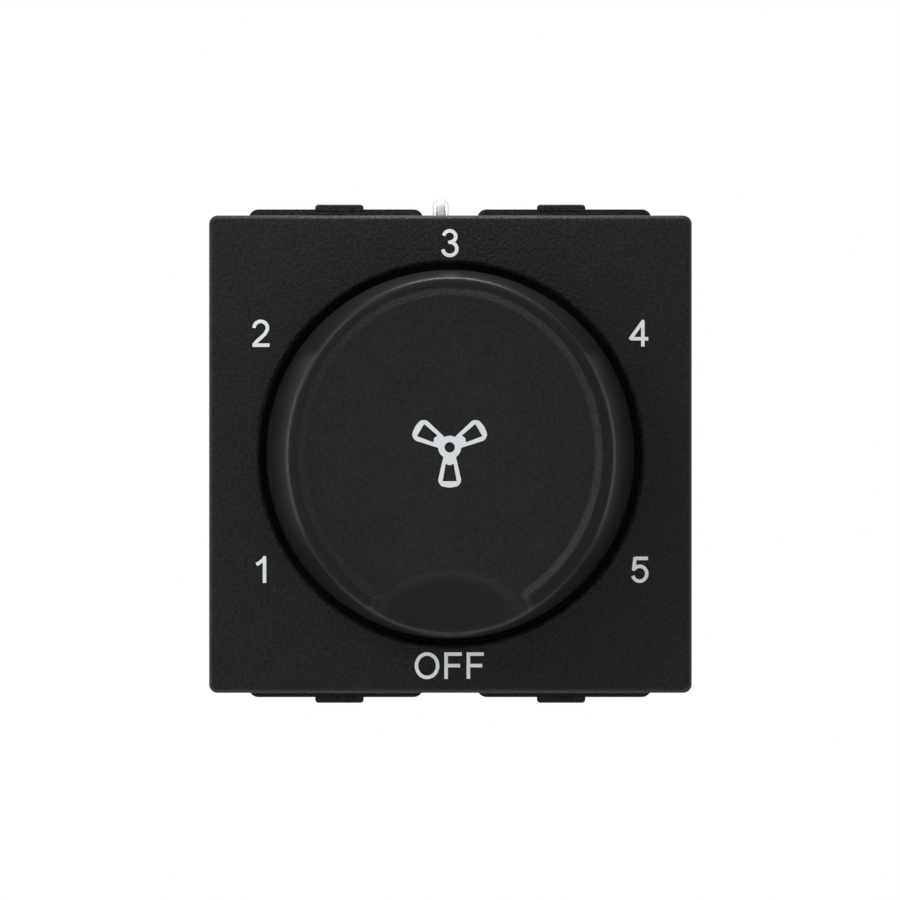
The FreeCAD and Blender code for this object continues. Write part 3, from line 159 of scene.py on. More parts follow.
class NodeSheet:
    """A node tree that is filled through one method."""

    # Places of the Mix node's colour sockets, whose names it has more than once.
    COLOUR_A, COLOUR_B, COLOUR_OUT = 6, 7, 2

    def __init__(self, tree: NodeTree) -> None:
        """Empty the tree and keep it."""
        tree.nodes.clear()
        self.tree = tree

    def node(
        self, kind: str, inputs: dict[Any, Any] | None = None, **settings: Any
    ) -> Node:
        """Add a node.

        Args:
            kind: the node's type name.
            inputs: value, Value or socket for each input's name or index.
            settings: attributes that are set before the inputs.

        Returns:
            The new node.
        """
        made = self.tree.nodes.new(kind)
        for name, setting in settings.items():
            setattr(made, name, setting)
        for key, given in (inputs or {}).items():
            socket = made.inputs[key]
            if isinstance(given, Value):
                self.tree.links.new(given.socket, socket)
            elif isinstance(given, NodeSocket):
                self.tree.links.new(given, socket)
            else:
                socket.default_value = given
        return made

    def place(self) -> NodeSocket:
        """The point on the piece, in metres from the dial's axis."""
        return self.node("ShaderNodeTexCoord").outputs["Object"]

    def stretched(self, scale: Sequence[float]) -> NodeSocket:
        """The point with each axis scaled."""
        inputs = {"Vector": self.place(), "Scale": scale}
        return self.node("ShaderNodeMapping", inputs).outputs["Vector"]

    def axes(self) -> list[Value]:
        """The X, Y and Z of the point on the piece."""
        split = self.node("ShaderNodeSeparateXYZ", {"Vector": self.place()})
        return [Value(self, split.outputs[axis]) for axis in "XYZ"]

    def seen(self) -> Value:
        """The share of what is seen in a surface or a backdrop.

        Returns:
            1 for what the camera, gloss and glass see, and 0 for other light.
        """
        path = self.node("ShaderNodeLightPath")
        rays = ("Is Camera Ray", "Is Glossy Ray", "Is Transmission Ray")
        camera, gloss, glass = (Value(self, path.outputs[ray]) for ray in rays)
        return camera.most(gloss).most(glass)

    def noise(
        self, grain: float, detail: float = 2.0, along: Sequence[float] = (1, 1, 1)
    ) -> Value:
        """Noise from 0 to 1 with features of a given size.

        Args:
            grain: size of a feature, in metres.
            detail: number of finer layers.
            along: how much finer the pattern is along each axis.

        Returns:
            The noise.
        """
        where = self.place() if tuple(along) == (1, 1, 1) else self.stretched(along)
        inputs = {"Vector": where, "Scale": 1 / grain, "Detail": detail}
        return Value(self, self.node("ShaderNodeTexNoise", inputs).outputs["Fac"])

    def cells(self, grain: float) -> Value:
        """Distance to the nearest of many scattered points, as a share of their spacing."""
        inputs = {"Vector": self.place(), "Scale": 1 / grain}
        return Value(self, self.node("ShaderNodeTexVoronoi", inputs).outputs["Distance"])

    def blend(self, share: "Value | float", first: Any, second: Any) -> NodeSocket:
        """A colour between two others.

        Args:
            share: 0 for the first colour and 1 for the second.
            first: linear RGB or a socket.
            second: linear RGB or a socket.

        Returns:
            The colour's socket.
        """
        ends = [end if isinstance(end, NodeSocket) else (*end, 1.0) for end in (first, second)]
        inputs = {"Factor": share, self.COLOUR_A: ends[0], self.COLOUR_B: ends[1]}
        return self.node("ShaderNodeMix", inputs, data_type="RGBA").outputs[self.COLOUR_OUT]

    def bump(self, height: Value, depth: float) -> NodeSocket:
        """A normal tilted by a height from 0 to 1 that stands for a depth in metres."""
        inputs = {"Height": height, "Distance": depth}
        return self.node("ShaderNodeBump", inputs).outputs["Normal"]


# Finishes


@dataclass(frozen=True)
class Finish:
    """What every finish has.

    The colour is linear RGB. The roughness strays by the spread, and the tones are the two
    brightnesses that the colour varies between, as multiples of it.
    """

    name: str
    colour: Colour
    roughness: float = 0.45
    specular: float = 0.5
    spread: float = 0.05
    tones: Span = (0.85, 1.15)

    def material(self) -> Material:
        """Build the finish's material.

        Returns:
            The new material.
        """
        made = bpy.data.materials.new(self.name)
        made.use_nodes = True
        sheet = NodeSheet(made.node_tree)
        inputs = {"Specular IOR Level": self.specular, **self.surface(sheet)}
        shader = sheet.node("ShaderNodeBsdfPrincipled", inputs)
        sheet.node("ShaderNodeOutputMaterial", {"Surface": shader.outputs["BSDF"]})
        made.diffuse_color = (*self.colour, 1.0)
        return made

    def surface(self, sheet: NodeSheet) -> dict[str, Any]:
        """What varies over the surface.

        Args:
            sheet: the material's nodes.

        Returns:
            A value or socket for each of the shader's inputs that varies.
        """
        raise NotImplementedError

    def shade(self, factor: float) -> Colour:
        """The finish's colour made lighter or darker."""
        return tuple(min(1.0, part * factor) for part in self.colour)

    def toned(self, sheet: NodeSheet, share: Value) -> NodeSocket:
        """The colour at its first tone where the share is 0, and at its second where it is 1."""
        return sheet.blend(share, *(self.shade(tone) for tone in self.tones))

    def dulled(self, share: Value) -> Value:
        """The roughness, from the spread below its mean to the spread above it."""
        return share * (2 * self.spread) + (self.roughness - self.spread)


@dataclass(frozen=True)
class SparkErodedPlastic(Finish):
    """Moulded plastic with the fine dull grain of a spark-eroded mould.

    The shares say how much the grain, the mottling and the specks count in the texture.
    """

    spread: float = 0.06
    tones: Span = (0.38, 1.62)
    grain: float = 0.30 * MM
    depth: float = 0.042 * MM
    mottle: float = 3.0 * MM
    speck_spacing: float = 1.6 * MM
    grain_limits: Span = (0.30, 0.70)
    speck_limits: Span = (0.12, 0.04)
    shares: tuple[float, float, float] = (0.62, 0.30, 0.50)

    def texture(self, sheet: NodeSheet) -> Value:
        """The share of the lighter tone, from 0 to 1.

        Args:
            sheet: the material's nodes.

        Returns:
            The share.
        """
        fine = sheet.noise(self.grain, detail=3.0).ramp(*self.grain_limits)
        broad = sheet.noise(self.mottle)
        specks = sheet.cells(self.speck_spacing).ramp(*self.speck_limits)
        return fine * self.shares[0] + broad * self.shares[1] + specks * self.shares[2]

    def surface(self, sheet: NodeSheet) -> dict[str, Any]:
        """Grain, soft mottling and a few paler specks.

        Args:
            sheet: the material's nodes.

        Returns:
            The shader's inputs that vary.
        """
        grain = self.texture(sheet)
        return {
            "Base Color": self.toned(sheet, grain),
            "Roughness": self.dulled(grain),
            "Normal": sheet.bump(grain, self.depth),
        }


@dataclass(frozen=True)
class DialPlastic(SparkErodedPlastic):
    """Moulded plastic of the dial, which differs by the place about the dial's axis.

    The dished face and its slope have the spark-eroded grain. The rim's band and the sides are
    smooth. The sides are darker, partly from their smooth finish and partly as painted shade on
    the walls outside the grip hollows. The grip hollows carry painted light that grows paler
    towards the rim, and painted shade that darkens towards the skirt.
    """

    spread: float = 0.04
    tones: Span = (0.87, 2.13)
    smooth_tones: Span = (0.76, 1.24)
    brightest: float = 2.0
    face_level: float = 17.05 * MM
    fade: float = 0.03 * MM
    dish: Oval = (14.16 * MM, 15.40 * MM, 0.20 * MM)
    rim: Oval = (15.05 * MM, 16.38 * MM, 0.0)
    oval_limits: Span = (1.004, 0.996)
    side_finish_and_painted_shade: float = 0.66
    grip_painted_shade_and_light: Span = (0.60, 1.70)
    grip_painted_light_levels: Span = (9.5 * MM, 17.2 * MM)
    grip_foot: Span = (-8.3 * MM, -6.2 * MM)
    grip_head: Span = (10.0 * MM, 8.6 * MM)
    flow_share: float = 0.4
    dish_roughness: float = 0.02
    smooth_bump: float = 0.15

    def inside(self, x: Value, z: Value, oval: Oval) -> Value:
        """Where the surface lies inside an oval about the dial's axis.

        Args:
            x: distance to the right of the axis.
            z: distance above the axis.
            oval: the oval.

        Returns:
            1 inside the oval and 0 outside it.
        """
        across, up = x * (1 / oval[0]), (z - oval[2]) * (1 / oval[1])
        return (across * across + up * up).ramp(*self.oval_limits)

    def tone(self, x: Value, z: Value, level: Value) -> Value:
        """Brightness of the smooth parts, before their flow marks, with painted shade and painted
        light on the sides.

        Args:
            x: distance to the right of the axis.
            z: distance above the axis.
            level: height in front of the mounting face.

        Returns:
            The brightness, 1 on the rim's band.
        """
        # The grip hollows get painted light that grows paler towards the rim, and painted shade
        # that darkens towards the skirt.
        grip = z.ramp(*self.grip_foot) * z.ramp(*self.grip_head)
        foot, head = self.grip_painted_shade_and_light
        painted_grip_shade_and_light = level.ramp(*self.grip_painted_light_levels) * (head - foot) + foot
        # Outside the grip hollows, the sides are darkened partly for their smooth finish and partly
        # as painted shade.
        side = (1.0 - grip) * self.side_finish_and_painted_shade + grip * painted_grip_shade_and_light
        band = self.inside(x, z, self.rim)
        return side * (1.0 - band) + band

    def surface(self, sheet: NodeSheet) -> dict[str, Any]:
        """The grain on the face and on its slope, and faint flow marks elsewhere.

        Args:
            sheet: the material's nodes.

        Returns:
            The shader's inputs that vary.
        """
        x, y, z = sheet.axes()
        above = (-y).ramp(self.face_level - self.fade, self.face_level - self.fade / 2)
        dish = above * self.inside(x, z, self.dish)
        grain = self.texture(sheet)
        flow = sheet.noise(self.mottle, detail=3.0)
        marks = flow * self.flow_share + grain * (1 - self.flow_share)
        low, high = self.smooth_tones
        # The smooth parts' colour carries the painted shade and painted light of the sides.
        tone = self.tone(x, z, -y) * (marks * (high - low) + low)
        brightest = self.shade(self.brightest)
        smooth = sheet.blend(tone * (1 / self.brightest), (0.0, 0.0, 0.0), brightest)
        rise = (dish * 2 - 1.0) * self.dish_roughness
        return {
            "Base Color": sheet.blend(dish, smooth, self.toned(sheet, grain)),
            "Roughness": self.dulled(grain) + rise,
            "Normal": sheet.bump(
                grain * (dish * (1 - self.smooth_bump) + self.smooth_bump), self.depth
            ),
        }


@dataclass(frozen=True)
class SmoothPlastic(Finish):
    """Moulded plastic from a plain mould, with flow marks drawn out along the depth."""

    tones: Span = (0.86, 1.12)
    flow: float = 4.0 * MM
    stretch: tuple[float, float, float] = (1.0, 0.25, 1.0)
    grain: float = 0.4 * MM
    grain_share: float = 0.7
    depth: float = 0.006 * MM

    def surface(self, sheet: NodeSheet) -> dict[str, Any]:
        """Flow marks over a faint grain.

        Args:
            sheet: the material's nodes.

        Returns:
            The shader's inputs that vary.
        """
        marks = sheet.noise(self.flow, detail=3.0, along=self.stretch)
        relief = sheet.noise(self.grain) * self.grain_share + marks * (1 - self.grain_share)
        return {
            "Base Color": self.toned(sheet, marks),
            "Roughness": self.dulled(marks),
            "Normal": sheet.bump(relief, self.depth),
        }


@dataclass(frozen=True)
class Metal(Finish):
    """Turned, stamped or plated metal, with tool lines along one axis and patchy dulling."""

    spread: float = 0.04
    tones: Span = (1.0, 0.45)
    lines: tuple[float, float, float] = (1.0, 1.0, 12.0)
    grain: float = 0.6 * MM
    depth: float = 0.003 * MM
    patch: float = 2.2 * MM
    patch_limits: Span = (0.42, 0.75)
    tarnish: float = 0.15

    def surface(self, sheet: NodeSheet) -> dict[str, Any]:
        """Tool lines under tarnished patches.

        Args:
            sheet: the material's nodes.

        Returns:
            The shader's inputs that vary.
        """
        tool = sheet.noise(self.grain, detail=3.0, along=self.lines)
        tarnished = sheet.noise(self.patch, detail=3.0).ramp(*self.patch_limits) * self.tarnish
        return {
            "Base Color": self.toned(sheet, tarnished),
            "Metallic": 1.0,
            "Roughness": self.dulled(tool) + tarnished,
            "Normal": sheet.bump(tool, self.depth),
        }


@dataclass(frozen=True)
class Laminate(Finish):
    """Pressed paper or glass laminate with its crossed fibres showing under clear resin."""

    tones: Span = (0.80, 1.15)
    weave: float = 0.45 * MM
    fineness: float = 6.0
    fibre_limits: Span = (0.35, 0.65)
    depth: float = 0.008 * MM

    def surface(self, sheet: NodeSheet) -> dict[str, Any]:
        """Fibres along X and along Z.

        Args:
            sheet: the material's nodes.

        Returns:
            The shader's inputs that vary.
        """
        across = sheet.noise(self.weave, detail=3.0, along=(self.fineness, 1.0, 1.0))
        upright = sheet.noise(self.weave, detail=3.0, along=(1.0, 1.0, self.fineness))
        fibres = across * 0.5 + upright * 0.5
        return {
            "Base Color": self.toned(sheet, fibres.ramp(*self.fibre_limits)),
            "Roughness": self.dulled(fibres),
            "Normal": sheet.bump(fibres, self.depth),
        }


@dataclass(frozen=True)
class PrintedInk(Finish):
    """Opaque pad-printed ink, a little uneven over the grain under it."""

    tones: Span = (1.0, 0.62)
    blotch: float = 0.28 * MM
    thin_limits: Span = (0.62, 0.85)
    showing: float = 0.5
    roughening: float = 0.1
    grain: float = 0.22 * MM
    depth: float = 0.006 * MM

    def surface(self, sheet: NodeSheet) -> dict[str, Any]:
        """Thin places let the dark plastic through faintly.

        Args:
            sheet: the material's nodes.

        Returns:
            The shader's inputs that vary.
        """
        thin = sheet.noise(self.blotch, detail=3.0).ramp(*self.thin_limits)
        return {
            "Base Color": self.toned(sheet, thin * self.showing),
            "Roughness": self.roughness + thin * self.roughening,
            "Normal": sheet.bump(sheet.noise(self.grain, detail=3.0), self.depth),
        }


@dataclass(frozen=True)
class BandedEnamel(Finish):
    """Resistor enamel with colour bands round the barrel, stacked along Z."""

    bands: tuple[tuple[float, Colour], ...] = ()
    width: float = 0.55 * MM
    speckle: float = 0.3 * MM
    patch: float = 1.0 * MM
    roughening: float = 0.1

    def surface(self, sheet: NodeSheet) -> dict[str, Any]:
        """Bands at given heights on a speckled enamel.

        Args:
            sheet: the material's nodes.

        Returns:
            The shader's inputs that vary.
        """
        height = sheet.axes()[2]
        colour = self.toned(sheet, sheet.noise(self.speckle, detail=3.0))
        for level, tint in self.bands:
            band = abs(height - level).ramp(self.width * 0.6, self.width * 0.5)
            colour = sheet.blend(band, colour, tint)
        return {
            "Base Color": colour,
            "Roughness": self.roughness + sheet.noise(self.patch) * self.roughening,
        }


class Palette:
    """Every finish of the switch, built once each."""

    FINISHES: dict[str, Finish] = {
        "plate_plastic": SparkErodedPlastic(
            "plate_black", (0.0096, 0.0097, 0.0098), 0.46, 0.10
        ),
        "knob_plastic": DialPlastic("knob_black", (0.0082, 0.0083, 0.0084), 0.40, 0.10),
        "housing_plastic": SparkErodedPlastic(
            "housing_black", (0.0092, 0.0092, 0.0094), 0.42, 0.12
        ),
        "pin_steel": Metal("pin_nickel", (0.78, 0.77, 0.74), 0.22),
        "spring_steel": Metal("spring_blue_grey", (0.42, 0.43, 0.45), 0.3, lines=(14.0, 1.0, 1.0)),
        "spindle_brass": Metal("spindle_brass", (0.72, 0.52, 0.22), 0.26, lines=(1.0, 12.0, 1.0)),
        "wheel_plastic": SmoothPlastic("wheel_acetal", (0.72, 0.7, 0.64), 0.38),
        "contact_brass": Metal("contact_brass", (0.76, 0.6, 0.3), 0.24, lines=(10.0, 1.0, 1.0)),
        "case_plastic": SmoothPlastic("case_grey", (0.11, 0.115, 0.12), 0.42),
        "wafer_laminate": Laminate("wafer_paper_laminate", (0.26, 0.12, 0.05), 0.4),
        "board_laminate": Laminate("board_green_laminate", (0.035, 0.13, 0.05), 0.34),
        "capacitor_resin": SmoothPlastic("capacitor_box", (0.58, 0.4, 0.06), 0.36),
        "resistor_enamel": BandedEnamel(
            "resistor_enamel", (0.52, 0.4, 0.25), 0.3, bands=(
                (2.6 * MM, (0.28, 0.03, 0.02)),
                (1.2 * MM, (0.3, 0.12, 0.36)),
                (-0.2 * MM, (0.62, 0.5, 0.05)),
                (-2.4 * MM, (0.5, 0.36, 0.1)),
            )
        ),
        "block_plastic": SmoothPlastic("block_grey", (0.42, 0.42, 0.4), 0.44),
        "busbar_brass": Metal("busbar_brass", (0.74, 0.57, 0.27), 0.28, lines=(1.0, 10.0, 1.0)),
        "screw_steel": Metal("screw_zinc", (0.6, 0.61, 0.62), 0.3, lines=(1.0, 1.0, 8.0)),
        "cage_steel": Metal("cage_zinc", (0.56, 0.57, 0.6), 0.34, lines=(1.0, 8.0, 1.0)),
        "figure_ink": PrintedInk("figure_ink", (0.62, 0.65, 0.67), 0.5, 0.35),
    }

    def __init__(self) -> None:
        """Start with nothing built."""
        self.built: dict[str, Material] = {}

    def material(self, slot: str) -> Material:
        """The material for a slot of the record, or for the ink.

        Args:
            slot: name of the finish.

        Returns:
            The material, built at its first use.
        """
        if slot not in self.built:
            self.built[slot] = self.FINISHES[slot].material()
        return self.built[slot]


class Frame:
    """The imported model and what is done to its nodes."""

    def __init__(self, loaded: dict[str, Any], palette: Palette) -> None:
        """Keep the loaded frame and the finishes."""
        self.nodes: dict[str, Object] = loaded["nodes"]
        self.palette = palette

    def dress(self, slot: str, *names: str) -> None:
        """Give CAD nodes a finish.

        Args:
            slot: name of the finish.
            names: the nodes.
        """
        finish = self.palette.material(slot)
        for name in names:
            for material_slot in self.nodes[name].material_slots:
                material_slot.material = finish
            LOG.info("%s takes %s", name, finish.name)


# Printed figures


def bow(centre: Point, radii: Point, start: float, end: float, steps: int = 20) -> list[Point]:
    """Points along part of an upright ellipse.

    Args:
        centre: its centre.
        radii: half width and half height.
        start: first angle, in degrees from the right.
        end: last angle.
        steps: number of chords.

    Returns:
        The points in order.
    """
    points = []
    for step in range(steps + 1):
        turn = math.radians(start + (end - start) * step / steps)
        x, z = radii[0] * math.cos(turn), radii[1] * math.sin(turn)
        points.append((centre[0] + x, centre[1] + z))
    return points


def flowing(knots: Sequence[Point], steps: int = 6) -> list[Point]:
    """Points along a smooth line through some knots.

    Args:
        knots: the points that the line passes.
        steps: chords between two knots.

    Returns:
        The points in order.
    """
    padded = [knots[0], *knots, knots[-1]]
    points = []
    for first, start, end, last in zip(padded, padded[1:], padded[2:], padded[3:]):
        for step in range(steps):
            t = step / steps
            weights = (
                -0.5 * t + t**2 - 0.5 * t**3,
                1 - 2.5 * t**2 + 1.5 * t**3,
                0.5 * t + 2 * t**2 - 1.5 * t**3,
                -0.5 * t**2 + 0.5 * t**3,
            )
            knot_pairs = tuple(zip(weights, (first, start, end, last)))
            points.append(tuple(sum(w * knot[axis] for w, knot in knot_pairs) for axis in (0, 1)))
    return [*points, knots[-1]]


class PenEnd(Enum):
    """Shape of an end of a stroke."""

    ROUND = "round"
    SQUARE = "square"


@dataclass(frozen=True)
class Stroke:
    """One pen stroke, in millimetres from the dial's axis."""

    points: Sequence[Point]
    start: PenEnd = PenEnd.ROUND
    end: PenEnd = PenEnd.ROUND


@dataclass(frozen=True)
class Glyph:
    """A printed figure: its piece's name and its strokes."""

    piece: str
    strokes: tuple[Stroke, ...]


def glyphs() -> list[Glyph]:
    """The figures round the dial and the word at the bottom.

    Returns:
        One glyph for each figure.
    """
    rounded, square = PenEnd.ROUND, PenEnd.SQUARE
    one = Glyph("speed_figure_1", (
        Stroke(((-17.325, -9.75), (-17.325, -12.11)), rounded, square),
        Stroke(
            flowing(((-17.33, -9.77), (-17.46, -9.96), (-17.82, -10.235), (-18.08, -10.39))),
            rounded,
            square,
        ),
    ))
    two = Glyph("speed_figure_2", (
        Stroke(
            bow((-17.675, 11.665), (0.625, 0.615), 180, 5)
            + flowing((
                (-17.06, 11.53), (-17.28, 11.13), (-17.67, 10.74), (-18.07, 10.38), (-18.29, 10.06)
            )),
            square,
            rounded,
        ),
        Stroke(((-18.45, 10.06), (-16.86, 10.06)), square, square),
    ))
    three = Glyph("speed_figure_3", (
        Stroke(bow((-0.055, 20.19), (0.56, 0.53), 172, -90), square, rounded),
        Stroke(bow((-0.047, 19.04), (0.65, 0.62), 90, -175), rounded, square),
    ))
    four = Glyph("speed_figure_4", (
        Stroke(((17.945, 12.26), (17.945, 9.93)), rounded, square),
        Stroke(((16.88, 10.66), (18.45, 10.66)), rounded, square),
        Stroke(((17.945, 12.26), (16.82, 10.70))),
    ))
    five = Glyph("speed_figure_5", (
        Stroke(((17.22, -9.82), (18.43, -9.82)), rounded, square),
        Stroke(((17.22, -9.82), (17.09, -10.82))),
        Stroke(bow((17.65, -11.25), (0.665, 0.695), 140, -163), rounded, square),
    ))
    off = Glyph("off_word", (
        Stroke(bow((-2.174, -19.825), (0.989, 1.092), 90, 450, 40), square, square),
        *(
            Stroke(ends, square, square)
            for stem, bar_start, bar_end, arm_end in (
                (-0.397, -0.56, 1.07, 0.91), (1.68, 1.515, 3.12, 2.97)
            )
            for ends in (
                ((stem, -18.58), (stem, -21.05)),
                ((bar_start, -18.745), (bar_end, -18.745)),
                ((stem, -19.816), (arm_end, -19.816)),
            )
        ),
    ))
    return [one, two, three, four, five, off]


class StrokeTree:
    """Geometry nodes that sweep a flat pen along paths and round off the marked ends."""

    NAME = "printed_strokes"
    ROUND = "round_end"
    DOT_VERTICES = 28

    def __init__(self) -> None:
        """Build the tree with its named inputs."""
        self.tree = bpy.data.node_groups.new(self.NAME, "GeometryNodeTree")
        face = self.tree.interface
        face.new_socket("Paths", in_out="INPUT", socket_type="NodeSocketGeometry")
        self.width, self.thick, self.level, self.ink = (
            face.new_socket(name, in_out="INPUT", socket_type="NodeSocket" + kind)
            for name, kind in (
                ("Pen width", "Float"),
                ("Ink thickness", "Float"),
                ("Level", "Float"),
                ("Ink", "Material"),
            )
        )
        face.new_socket("Print", in_out="OUTPUT", socket_type="NodeSocketGeometry")
        self.fill()

    def fill(self) -> None:
        """Add the tree's nodes."""
        sheet = NodeSheet(self.tree)
        start = sheet.node("NodeGroupInput")
        width = Value(sheet, start.outputs["Pen width"])
        thick = start.outputs["Ink thickness"]
        pen_inputs = {"Width": width, "Height": thick}
        pen = sheet.node("GeometryNodeCurvePrimitiveQuadrilateral", pen_inputs, mode="RECTANGLE")
        path = sheet.node("GeometryNodeMeshToCurve", {"Mesh": start.outputs["Paths"]})
        sweep_inputs = {
            "Curve": path.outputs[0], "Profile Curve": pen.outputs[0], "Fill Caps": True
        }
        sweep = sheet.node("GeometryNodeCurveToMesh", sweep_inputs)
        dot_inputs = {"Vertices": self.DOT_VERTICES, "Radius": width * 0.5, "Depth": thick}
        dot = sheet.node("GeometryNodeMeshCylinder", dot_inputs)
        marked = sheet.node(
            "GeometryNodeInputNamedAttribute", {"Name": self.ROUND}, data_type="BOOLEAN"
        )
        ends_inputs = {
            "Points": start.outputs["Paths"],
            "Selection": marked.outputs[0],
            "Instance": dot.outputs["Mesh"],
        }
        ends = sheet.node("GeometryNodeInstanceOnPoints", ends_inputs)
        solid = sheet.node("GeometryNodeRealizeInstances", {0: ends.outputs[0]})
        union = sheet.node("GeometryNodeMeshBoolean", operation="UNION", solver="EXACT")
        union.inputs["Self Intersection"].default_value = True
        self.tree.links.new(sweep.outputs[0], union.inputs["Mesh 2"])
        self.tree.links.new(solid.outputs[0], union.inputs["Mesh 2"])
        lift = sheet.node("ShaderNodeCombineXYZ", {"Z": start.outputs["Level"]})
        last = union
        for kind, inputs in (
            ("GeometryNodeTransform", {"Translation": lift.outputs[0]}),
            ("GeometryNodeTransform", {"Rotation": (math.pi / 2, 0.0, 0.0)}),
            ("GeometryNodeRealizeInstances", {}),
            ("GeometryNodeSetMaterial", {"Material": start.outputs["Ink"]}),
        ):
            last = sheet.node(kind, {0: last.outputs[0], **inputs})
        sheet.node("NodeGroupOutput", {"Print": last.outputs[0]})


def settle(piece: Object) -> None:
    """Turn an object's modifiers into its plain mesh.

    Args:
        piece: object with live modifiers.
    """
    bpy.context.view_layer.update()
    graph = bpy.context.evaluated_depsgraph_get()
    mesh = bpy.data.meshes.new_from_object(piece.evaluated_get(graph), depsgraph=graph)
    piece.modifiers.clear()
    old = piece.data
    piece.data = mesh
    mesh.name = piece.name
    mesh.shade_flat()
    if old.users == 0:
        bpy.data.meshes.remove(old)


def linked(name: str, mesh: Mesh) -> Object:
    """A new object of the scene.

    Args:
        name: the object's name.
        mesh: what it holds.

    Returns:
        The object.
    """
    piece = bpy.data.objects.new(name, mesh)
    bpy.context.scene.collection.objects.link(piece)
    return piece


def solid_piece(name: str, shape: BMesh, finish: Material | None = None) -> Object:
    """A new object of the scene from a shape, which is freed.

    Args:
        name: the object's name.
        shape: its faces.
        finish: its one material, or none yet.

    Returns:
        The object.
    """
    mesh = bpy.data.meshes.new(name)
    shape.to_mesh(mesh)
    shape.free()
    if finish:
        mesh.materials.append(finish)
    return linked(name, mesh)


def report(piece: Object) -> None:
    """Log how many faces a finished piece has."""
    LOG.info("%s has %d faces", piece.name, len(piece.data.polygons))


@dataclass
class PrintedFigures:
    """The pad-printed figures and the word on the plate.

    The shift moves all of them to the photo's place, in millimetres.
    """

    pen_width: float = 0.330 * MM
    ink_thickness: float = 0.03 * MM
    ink_proud: float = 0.015 * MM
    plate_front: float = 9.0 * MM
    shift: Point = (-0.01, 0.115)

    def path_mesh(self, glyph: Glyph) -> Mesh:
        """Edges along a glyph's strokes, with its round ends marked.

        Args:
            glyph: the figure.

        Returns:
            A mesh of loose edges in the XY plane.
        """
        points: list[Vector] = []
        edges: list[tuple[int, int]] = []
        ends: list[bool] = []
        for line in glyph.strokes:
            first = len(points)
            last = len(line.points) - 1
            for index, (x, z) in enumerate(line.points):
                points.append(Vector(((x + self.shift[0]) * MM, (z + self.shift[1]) * MM, 0)))
                starts, stops = index == 0, index == last
                ends.append(
                    (starts and line.start is PenEnd.ROUND) or (stops and line.end is PenEnd.ROUND)
                )
            edges += [(first + index, first + index + 1) for index in range(last)]
        mesh = bpy.data.meshes.new(glyph.piece)
        mesh.from_pydata(points, edges, [])
        marks = mesh.attributes.new(StrokeTree.ROUND, "BOOLEAN", "POINT")
        marks.data.foreach_set("value", ends)
        return mesh

    def build(self, frame: Frame, tree: StrokeTree) -> None:
        """Make each figure and put it on the housing's body.

        Args:
            frame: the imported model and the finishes.
            tree: the geometry nodes for strokes.
        """
        for glyph in glyphs():
            piece = linked(glyph.piece, self.path_mesh(glyph))
            pen = piece.modifiers.new("strokes", "NODES")
            pen.node_group = tree.tree
            pen[tree.width.identifier] = self.pen_width
            pen[tree.thick.identifier] = self.ink_thickness
            pen[tree.level.identifier] = self.plate_front + self.ink_proud - self.ink_thickness / 2
            pen[tree.ink.identifier] = frame.palette.material("figure_ink")
            settle(piece)
            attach(piece, "housing")
            report(piece)


